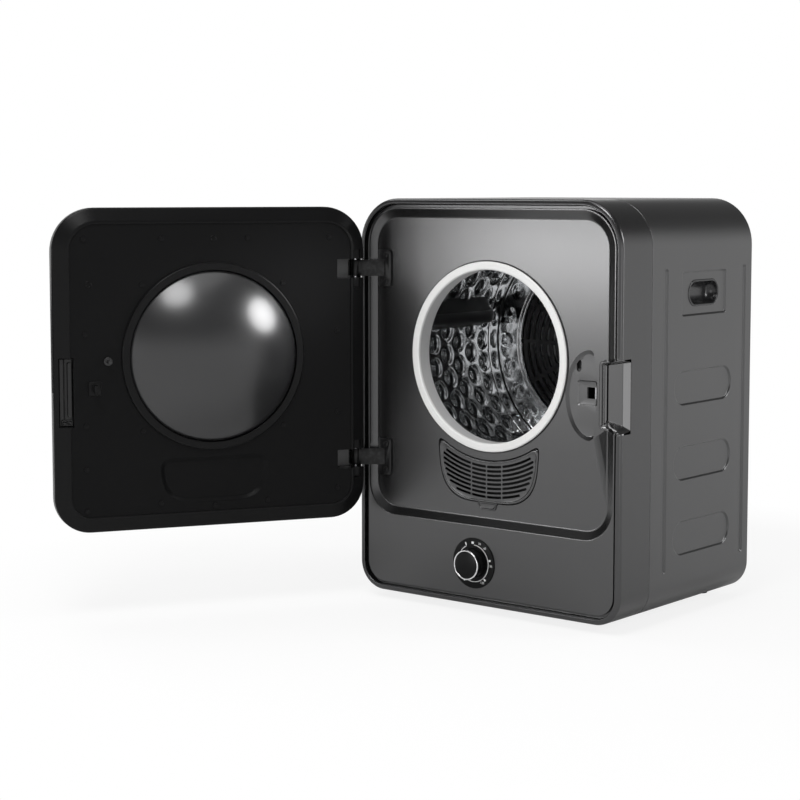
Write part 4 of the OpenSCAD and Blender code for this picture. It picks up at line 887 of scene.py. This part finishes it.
def make_drum():
    bm = bmesh.new()
    section = [(DRUM_R, -138 + i * 2.2) for i in range(104)]
    section += [(DRUM_R - BACK_CORNER + BACK_CORNER * math.cos(math.radians(a)),
        BACK_Y - BACK_CORNER + BACK_CORNER * math.sin(math.radians(a))) for a in (30, 60, 90)]
    section += [(177.6, BACK_Y), (177, BACK_Y + 0.5), (176.2, BACK_Y + 2.2), (175.4, BACK_Y + 0.5),
        (174.8, BACK_Y)]
    section += [(174.8 - i * 2.2, BACK_Y) for i in range(1, 20)]
    lathe(bm, section, steps=480)
    for vert in bm.verts:
        angle, r = math.degrees(math.atan2(vert.co.z - AXIS_Z, vert.co.x)) % 360, from_axis(vert)
        if vert.co.y > BACK_Y - 0.01:
            vert.co.y -= back_boss(angle, r)
        elif r > DRUM_R - 0.1:
            widen(vert, (DRUM_R - wall_boss(angle, vert.co.y)) / DRUM_R)
    lathe(bm, rounded([(DRUM_R, -138), (DRUM_R, -139.9), (132.6, -139.9), (132.6, -152.9)], [0, 1.5, 2, 0]),
        steps=140)
    make_piece("drum", bm, "drum", stainless, ["drum_shell"], sharp=80)

make_drum()

def make_drum_beads():
    bm = bmesh.new()
    for r in (131, 137):
        lathe(bm, rounded([(r - 1.9, BACK_Y), (r, BACK_Y - 3.4), (r + 1.9, BACK_Y)], [0, 2.6, 0]), steps=140)
    make_piece("drum_beads", bm, "drum", bright_ring, sharp=60)

make_drum_beads()
turned("drum_seam", rounded([(174.6, BACK_Y), (174.9, BACK_Y - 0.5), (177.5, BACK_Y - 0.5),
    (177.8, BACK_Y)], [0, 0.2, 0.2, 0], steps=2), "drum", rubber_black, steps=140)

# %% [markdown]
# Lifters
#
# A lifter is a hollow moulded fin. A copy of the solid gives its exact section. Its back end is
# drawn forward, and cuts across the fin let its height fall away there in a round.

# %% Lifters
BACK_SHORTER, ROUND_START, ROUND_LENGTH = 22, 44, 30

def make_lifters():
    bm = bmesh.new()
    bm.from_mesh(nodes["drum_lifters"].data)
    bmesh.ops.remove_doubles(bm, verts=bm.verts, dist=0.00001)
    bmesh.ops.scale(bm, verts=bm.verts, vec=(1000, 1000, 1000))
    bmesh.ops.dissolve_limit(bm, angle_limit=math.radians(1), verts=bm.verts, edges=bm.edges)
    bmesh.ops.translate(bm, verts=[v for v in bm.verts if v.co.y > 80], vec=(0, -BACK_SHORTER, 0))
    for y in (ROUND_START, 50, 55, 60, 64, 67, 69.5, 71.5, 73):
        slice_at(bm, (0, y, 0), BACK)
    for vert in bm.verts:
        if vert.co.y > ROUND_START:
            fall = math.sqrt(max(0.02, 1 - ((vert.co.y - ROUND_START) / ROUND_LENGTH) ** 2))
            r = from_axis(vert)
            widen(vert, (DRUM_R - (DRUM_R - r) * fall) / r)
    make_piece("lifters", bm, "drum", lifter_black, ["drum_lifters"], sharp=50)

make_lifters()

# %% [markdown]
# Filter cover
#
# The cover is a plate whose slots follow the ring. Each slot is a closed outline between two
# arcs, cut short by the ribs and by the cover's own border. All outlines are filled as one plate,
# so the slots stay open, and the slot edges are then drawn back to give the plate its thickness.

# %% Filter cover
# Goes from one loop to the next and closes the strip between them
def terraces(bm, loop, outline_at, steps):
    for grow, y in steps:
        following = outline_at(bm, grow, y)
        bridge(bm, loop, following)
        loop = following
    return loop

def width_at(points, z):
    found = 0
    for (x0, z0), (x1, z1) in zip(points, points[1:] + points[:1]):
        if min(z0, z1) <= z <= max(z0, z1) and z0 != z1:
            found = max(found, x0 + (x1 - x0) * (z - z0) / (z1 - z0))
    return found

def slot_end(border, r):
    angle = 0
    while r * math.sin(angle) < width_at(border, AXIS_Z - r * math.cos(angle)) and angle < 1:
        angle += 0.004
    return angle

def slot_outline(bm, r, wide, start, stop, y):
    turns = [start + (stop - start) * i / 6 for i in range(7)]
    points = [(r * math.sin(a), AXIS_Z - r * math.cos(a)) for a in turns]
    points += [((r + wide) * math.sin(a), AXIS_Z - (r + wide) * math.cos(a)) for a in reversed(turns)]
    cut = min(1.4, 0.45 * math.dist(points[0], points[1]))
    cuts = [cut] + [0] * 5 + [cut, cut] + [0] * 5 + [cut]
    return chain(bm, [(x, y, z) for x, z in rounded(points, cuts, steps=3)], closed=True)

SLOT_ROWS, FIRST_SLOT_R, SLOT_PITCH, SLOT_WIDE = 8, 157, 6.3, 3.6

def make_filter_cover():
    bm = bmesh.new()
    y = -167.5
    border = filter_points(-7)
    slots = []
    for row in range(SLOT_ROWS):
        r = FIRST_SLOT_R + row * SLOT_PITCH
        end = slot_end(border, r + 1.7)
        cuts = [-end, -30 / r, -28 / r, -3 / r, -1 / r, 24 / r, 26 / r, end]
        slots += [slot_outline(bm, r, SLOT_WIDE, a, b, y) for a, b in zip(cuts[::2], cuts[1::2]) if b - a > 0.03]
    inner = filter_outline(bm, -3.4, y)
    fill(bm, inner + [e for s in slots for e in s])
    for s in slots:
        pull(bm, s, (0, 1.4, 0))
    terraces(bm, inner, filter_outline, ((-3.0, y - 0.5), (-2.2, y - 0.9), (-1.2, y - 0.8), (-0.5, y - 0.3),
        (-0.1, y + 0.6), (0, -165.8)))
    make_piece("filter_plate", bm, "filter", lacquer, ["filter_cover"], facing=FRONT,
        sharp=50)

def tab_outline(bm, grow, y):
    corners = [(-18 - grow, 164 + grow), (-13.5 - grow, 152 - grow), (13.5 + grow, 152 - grow),
        (18 + grow, 164 + grow)]
    return chain(bm, [(x, y, z) for x, z in rounded(corners, [1, 3.5, 3.5, 1])], closed=True)

def make_pull_tab():
    bm = bmesh.new()
    fill(bm, terraces(bm, tab_outline(bm, 0, -165.6), tab_outline, ((0, -168.2), (-0.5, -168.9), (-1.3, -169.1),
        (-2.1, -168.8), (-2.7, -167.9), (-3.3, -167.7))))
    make_piece("pull_tab", bm, "filter", lacquer, facing=FRONT, sharp=50)

make_filter_cover()
make_pull_tab()

# %% [markdown]
# Latch field
#
# The latch field is a half ellipse sunk into the well. Its wall slopes on the curved side and
# stands upright at the right. The floor is a plate with the switch slot and the sunk plate of the
# catch, and behind that plate stands the sprung tongue.

# %% Latch field
SUNK_Y, CATCH_Y = -164.5, -162.62

def catch_outline(bm, inset, y):
    return oblong(bm, (168.2, y, 332.8), 33 - inset, 36 - inset, 4 - inset / 4, steps=5)

def make_latch_field():
    bm = bmesh.new()
    floor_rim = terraces(bm, latch_outline(bm, 0, -167.05), latch_outline,
        ((-0.6, -166.8), (-4.6, -164.8), (-5.4, SUNK_Y)))
    slot = oblong(bm, (154.4, SUNK_Y, 370.6), 8, 16.8, 3.9)
    plate = catch_outline(bm, 0, SUNK_Y)
    fill(bm, floor_rim + slot + plate)
    pull(bm, slot, (0, 2.5, 0))
    plate = terraces(bm, plate, catch_outline, ((0.6, -164.3), (3.6, -162.9), (4.6, CATCH_Y)))
    hole = oblong(bm, (174.6, CATCH_Y, 333.4), 15.2, 16, 0.8, steps=4)
    fill(bm, plate + hole)
    pull(bm, hole, (0, 0.9, 0))
    make_piece("latch_field", bm, "base", lacquer, ["latch_cover"], facing=FRONT)

def make_tongue():
    bm = bmesh.new()
    wedge = chain(bm, [(x, y, 325.2) for x, y in rounded([(178.6, -152.6), (178.6, -160.9), (179.3, -161.5),
        (186, -161.5), (186, -152.6)], [0, 0.3, 0.3, 0.4, 0], steps=3)], closed=True)
    cap_low = face_on(bm, wedge)
    made = bmesh.ops.extrude_face_region(bm, geom=[cap_low])["geom"]
    bmesh.ops.translate(bm, verts=only(bmesh.types.BMVert, made), vec=(0, 0, 16.4))
    make_piece("tongue", bm, "tongue", tongue_steel, ["latch_tongue"], sharp=40)

make_latch_field()
make_tongue()

# %% [markdown]
# Door shell
#
# The door is a shallow pan. Seen from its inner side it has a rolled outer edge, a sloped border
# and a narrow crest before the liner. The border's section is carried round the door in pieces,
# because the hinge arms pass through it at the left and the finger slot takes a bite at the right.

# %% Door shell
DOOR_FRONT, DOOR_EDGE, DOOR_CREST, CREST_END = -207, -183, -174, (23, -178.4)
OUTER = [(12, DOOR_FRONT), (0, DOOR_FRONT), (0, DOOR_EDGE)]
PAN = rounded(OUTER + [(20, DOOR_CREST), (23, DOOR_CREST), CREST_END], [0, 11.8, 2.6, 2.4, 1, 0], steps=7)
PAN_POCKET = rounded(OUTER + [(6, -180.3), (6, -185), (18, -185), (18, -174.9), (20, DOOR_CREST),
    (23, DOOR_CREST), CREST_END], [0, 11.8, 2.2, 0.5, 0.6, 0.6, 0.5, 0.8, 1, 0], steps=5)
PAN_LOW = [(12, DOOR_FRONT), (7.5, -206.9), (4.2, -206), (2.6, -205)]
PAN_BITE = rounded(OUTER + [(7.6, -179.6), (7.6, -184)], [0, 11.8, 2.6, 0.8, 0], steps=7)
GRIP = (279, 377)
# Heights at the hinge side: the leaves cross the rim, and a pocket lies on both sides of each
HINGE_ENDS, LEAVES = (186, 525), ((483, 511), (200, 228))
POCKETS = ((469, 483), (511, 525), (186, 200), (228, 242))

def make_door_shell():
    bm = bmesh.new()
    for start, stop, corners in ((GRIP[1], HINGE_ENDS[1], (0, 1)), (HINGE_ENDS[0], GRIP[0], (2, 3))):
        for end in carry(bm, PAN, DOOR, start, stop, corners):
            cap(bm, end)
    straight(bm, PAN, DOOR[0], -1, POCKETS[3][1], POCKETS[0][0])
    for low, high in POCKETS:
        straight(bm, PAN_POCKET, DOOR[0], -1, low, high)
    for low, high in LEAVES:
        straight(bm, PAN_LOW, DOOR[0], -1, low, high)
    straight(bm, PAN_BITE, DOOR[0], 1, *GRIP)
    make_piece("door_border", bm, "door", rim_black, ["door_shell"], on_door=True,
        sharp=40)

def make_door_skin():
    bm = bmesh.new()
    y = DOOR_FRONT - 0.02
    form = rounded([(12, y), (-0.02, y), (-0.02, -195)], [0, 11.7, 0], steps=7)
    carry(bm, form, DOOR, 300, 300)
    merge(bm)
    fill(bm, open_edges(bm, y) + circle(bm, 104, y))
    make_piece("door_skin", bm, "door", lacquer, on_door=True, facing=FRONT, sharp=40)

make_door_shell()
make_door_skin()

# %% [markdown]
# Door inside
#
# The dome is a spun cap with a small round at its foot, and the seal is a soft ring round it. The
# liner is a plate cut out round the hinge leaves and the finger slot, with a shallow pocket
# pressed in below the dome and two small round pads.

# %% Dome and seal
BALL_R, BALL_Y, DOME_FOOT = 190.1, -320.1, math.asin(122.4 / 190.1)
dome_arc = [(BALL_R * math.sin(DOME_FOOT * i / 40), BALL_Y + BALL_R * math.cos(DOME_FOOT * i / 40))
    for i in range(41)]
turned("dome", dome_arc + rounded([(122.9, -175.4), (124, -176.3), (124, -181.4)], [0, 0.8, 0]), "door",
    dome_dark, ["door_dome"], on_door=True)
turned("seal", rounded([(124.1, -175.9), (124.1, -171.8), (135.5, -171.2), (135.5, -175.9)], [0, 1.2, 3, 0],
    steps=7), "door", rim_black, ["door_seal"], on_door=True)

# %% Liner
LINER_Y, LINER_IN, LEAF_X, GRIP_X = -176, 23.05, -188.2, 204
BOWL, PADS = [(-83, 229), (83, 229), (75, 162), (-75, 162)], ((0, 543), (182, 480))

def make_liner():
    bm = bmesh.new()
    edge = SIDE_X - LINER_IN
    rim = outline(bm, DOOR, LINER_IN, LINER_Y)
    sides = [e for e in rim if all(abs(abs(v.co.x) - edge) < 0.01 for v in e.verts)
        and e.calc_length() > 100]
    bmesh.ops.delete(bm, geom=sides, context="EDGES")
    left = [(-edge, 526)]
    for low, high in LEAVES:
        left += [(-edge, high), (LEAF_X, high), (LEAF_X, low), (-edge, low)]
    left.append((-edge, 178))
    right = [(edge, 178), (edge, GRIP[0]), (GRIP_X, GRIP[0]), (GRIP_X, GRIP[1]), (edge, GRIP[1]), (edge, 526)]
    for side in (left, right):
        chain(bm, [(x, LINER_Y, z) for x, z in side])
    merge(bm)
    rim = list(bm.edges)
    hole = circle(bm, 124.6, LINER_Y)
    pocket = chain(bm, [(x, LINER_Y, z) for x, z in rounded(BOWL, [22, 22, 40, 40], steps=8)], closed=True)
    pads = [circle(bm, 5.4, LINER_Y, x, z, 32) for x, z in PADS]
    fill(bm, rim + hole + pocket + [e for pad in pads for e in pad])
    press(bm, pocket, [(0.6, -0.2), (1.6, -1.0), (2.6, -2.0), (1.8, -1.1), (0.8, -0.2)], BACK)
    for pad in pads:
        press(bm, pad, [(0.4, 0.25), (0.3, 0.35), (0.7, 0.2), (0.8, 0), (0.7, -0.5), (0.8, -0.1)], BACK)
    pull(bm, hole, (0, -1.2, 0))
    make_piece("liner", bm, "door", liner_black, ["door_liner"], on_door=True)

make_liner()

# %% Finger cup
CUP_BACK = -183.8

def make_finger_cup():
    bm = bmesh.new()
    press(bm, oblong(bm, (214, -177.4, 328), 20.4, 97.4, 2), [(0.5, -0.6), (0.6, -4.6), (0.7, -1.2)], BACK)
    for x, width, height, rise in ((216.4, 2, 86, 2.6), (209.4, 5.6, 78, 4.4)):
        bar = oblong(bm, (x, CUP_BACK, 332), width, height, width / 2 - 0.1)
        press(bm, bar, [(0.3, rise), (0.5, 0.4)], BACK)
    tab = oblong(bm, (213, CUP_BACK, 285), 16, 9, 1.5, steps=4)
    press(bm, tab, [(0.6, 4.6), (0.7, 0.5), (1.6, -1.8)], BACK)
    make_piece("finger_cup", bm, "door", liner_gloss, ["door_grip"], on_door=True,
        sharp=45)

make_finger_cup()

# %% [markdown]
# Marks on the dial
#
# Two thin arcs, a few ticks and plain numbers are printed on the dial. Each is a flat shape of
# its own, laid a tenth of a millimetre over the plate. The numbers are turned from text to mesh
# before they are placed.

# %% Dial marks
DIAL, ARC_R, TICK_R, NUMBER_R = (-20, -174.9, 73), 26.6, 28.4, 31.6
ARCS = ((3, 192), (-168, -26))
TICKS = ((-26, 4.2, 2), (-2, 3.4, 4), (77, 3.6, 2.4), (137, 4, 2.4), (211, 3.4, 2.4))
NUMBERS = (("30", 21), ("60", 41), ("90", 92), ("120", 149))

def on_dial(angle, r):
    turn = math.radians(angle)
    return (DIAL[0] + r * math.sin(turn), DIAL[1], DIAL[2] + r * math.cos(turn))

def dial_arc(bm, start, stop, r, wide, steps=48):
    turns = [start + (stop - start) * i / steps for i in range(steps + 1)]
    points = [on_dial(a, r) for a in turns] + [on_dial(a, r + wide) for a in reversed(turns)]
    fill(bm, chain(bm, points, closed=True))

def dial_number(bm, words, angle, r):
    text = bpy.data.curves.new("number", "FONT")
    text.body, text.size, text.align_x, text.align_y = words, 4.6, "CENTER", "CENTER"
    holder = bpy.data.objects.new("number", text)
    mesh = bpy.data.meshes.new_from_object(holder)
    before = set(bm.verts)
    bm.from_mesh(mesh)
    made = [v for v in bm.verts if v not in before]
    bmesh.ops.rotate(bm, verts=made, cent=(0, 0, 0), matrix=Matrix.Rotation(math.radians(90), 3, "X"))
    bmesh.ops.translate(bm, verts=made, vec=on_dial(angle, r))
    bpy.data.objects.remove(holder)
    bpy.data.curves.remove(text)
    bpy.data.meshes.remove(mesh)

def make_dial_marks():
    bm = bmesh.new()
    for start, stop in ARCS:
        dial_arc(bm, start, stop, ARC_R, 0.95)
    for angle, length, wide in TICKS:
        dial_arc(bm, angle - wide, angle + wide, TICK_R, length, 4)
    for words, angle in NUMBERS:
        dial_number(bm, words, angle, NUMBER_R)
    make_piece("dial_marks", bm, "base", mark_white, facing=FRONT, weld=0.0001)

make_dial_marks()

# %% [markdown]
# Small parts
#
# The last parts are copies of their solids whose edges get a small round of the width given
# here, in millimetres. A few take a finish of their own instead of the one of their slot.

# %% Softened small parts
small = {"latch_catch": 0.5, "latch_hook": 0.6, "switch_pin": 0.4,
    "hinge_plates": 0.5, "hinge_screws": 0.5, "door_leaves": 0.4, "liner_screws": 0.35, "dial_plate": 0.5,
    "knob_cap": 0.8, "knob_ring": 0.5, "drum_disc": 0.6, "door_trim": 0.8, "door_window": 0.4,
    "rear_panel": 0.3, "exhaust_spigot": 0.4, "cord_gland": 0.4, "feet": 0.8, "rear_screws": 0.4}
# The latch's hook and catch are drawn black: painted shade of the dark recess round them
own_finish = {"latch_hook": rim_black, "latch_catch": rim_black, "liner_screws": dial_black,
    "knob_cap": rim_black, "door_leaves": leaf_grey, "hinge_screws": hinge_black, "feet": rim_black}
# The filter's basket and mesh are drawn black: painted shade behind the cover's slots
for node in ("filter_basket", "filter_mesh"):
    nodes[node].material_slots[0].material = dial_black
for node, width in small.items():
    softened(node, width, own_finish.get(node))
print("softened:", len(small))
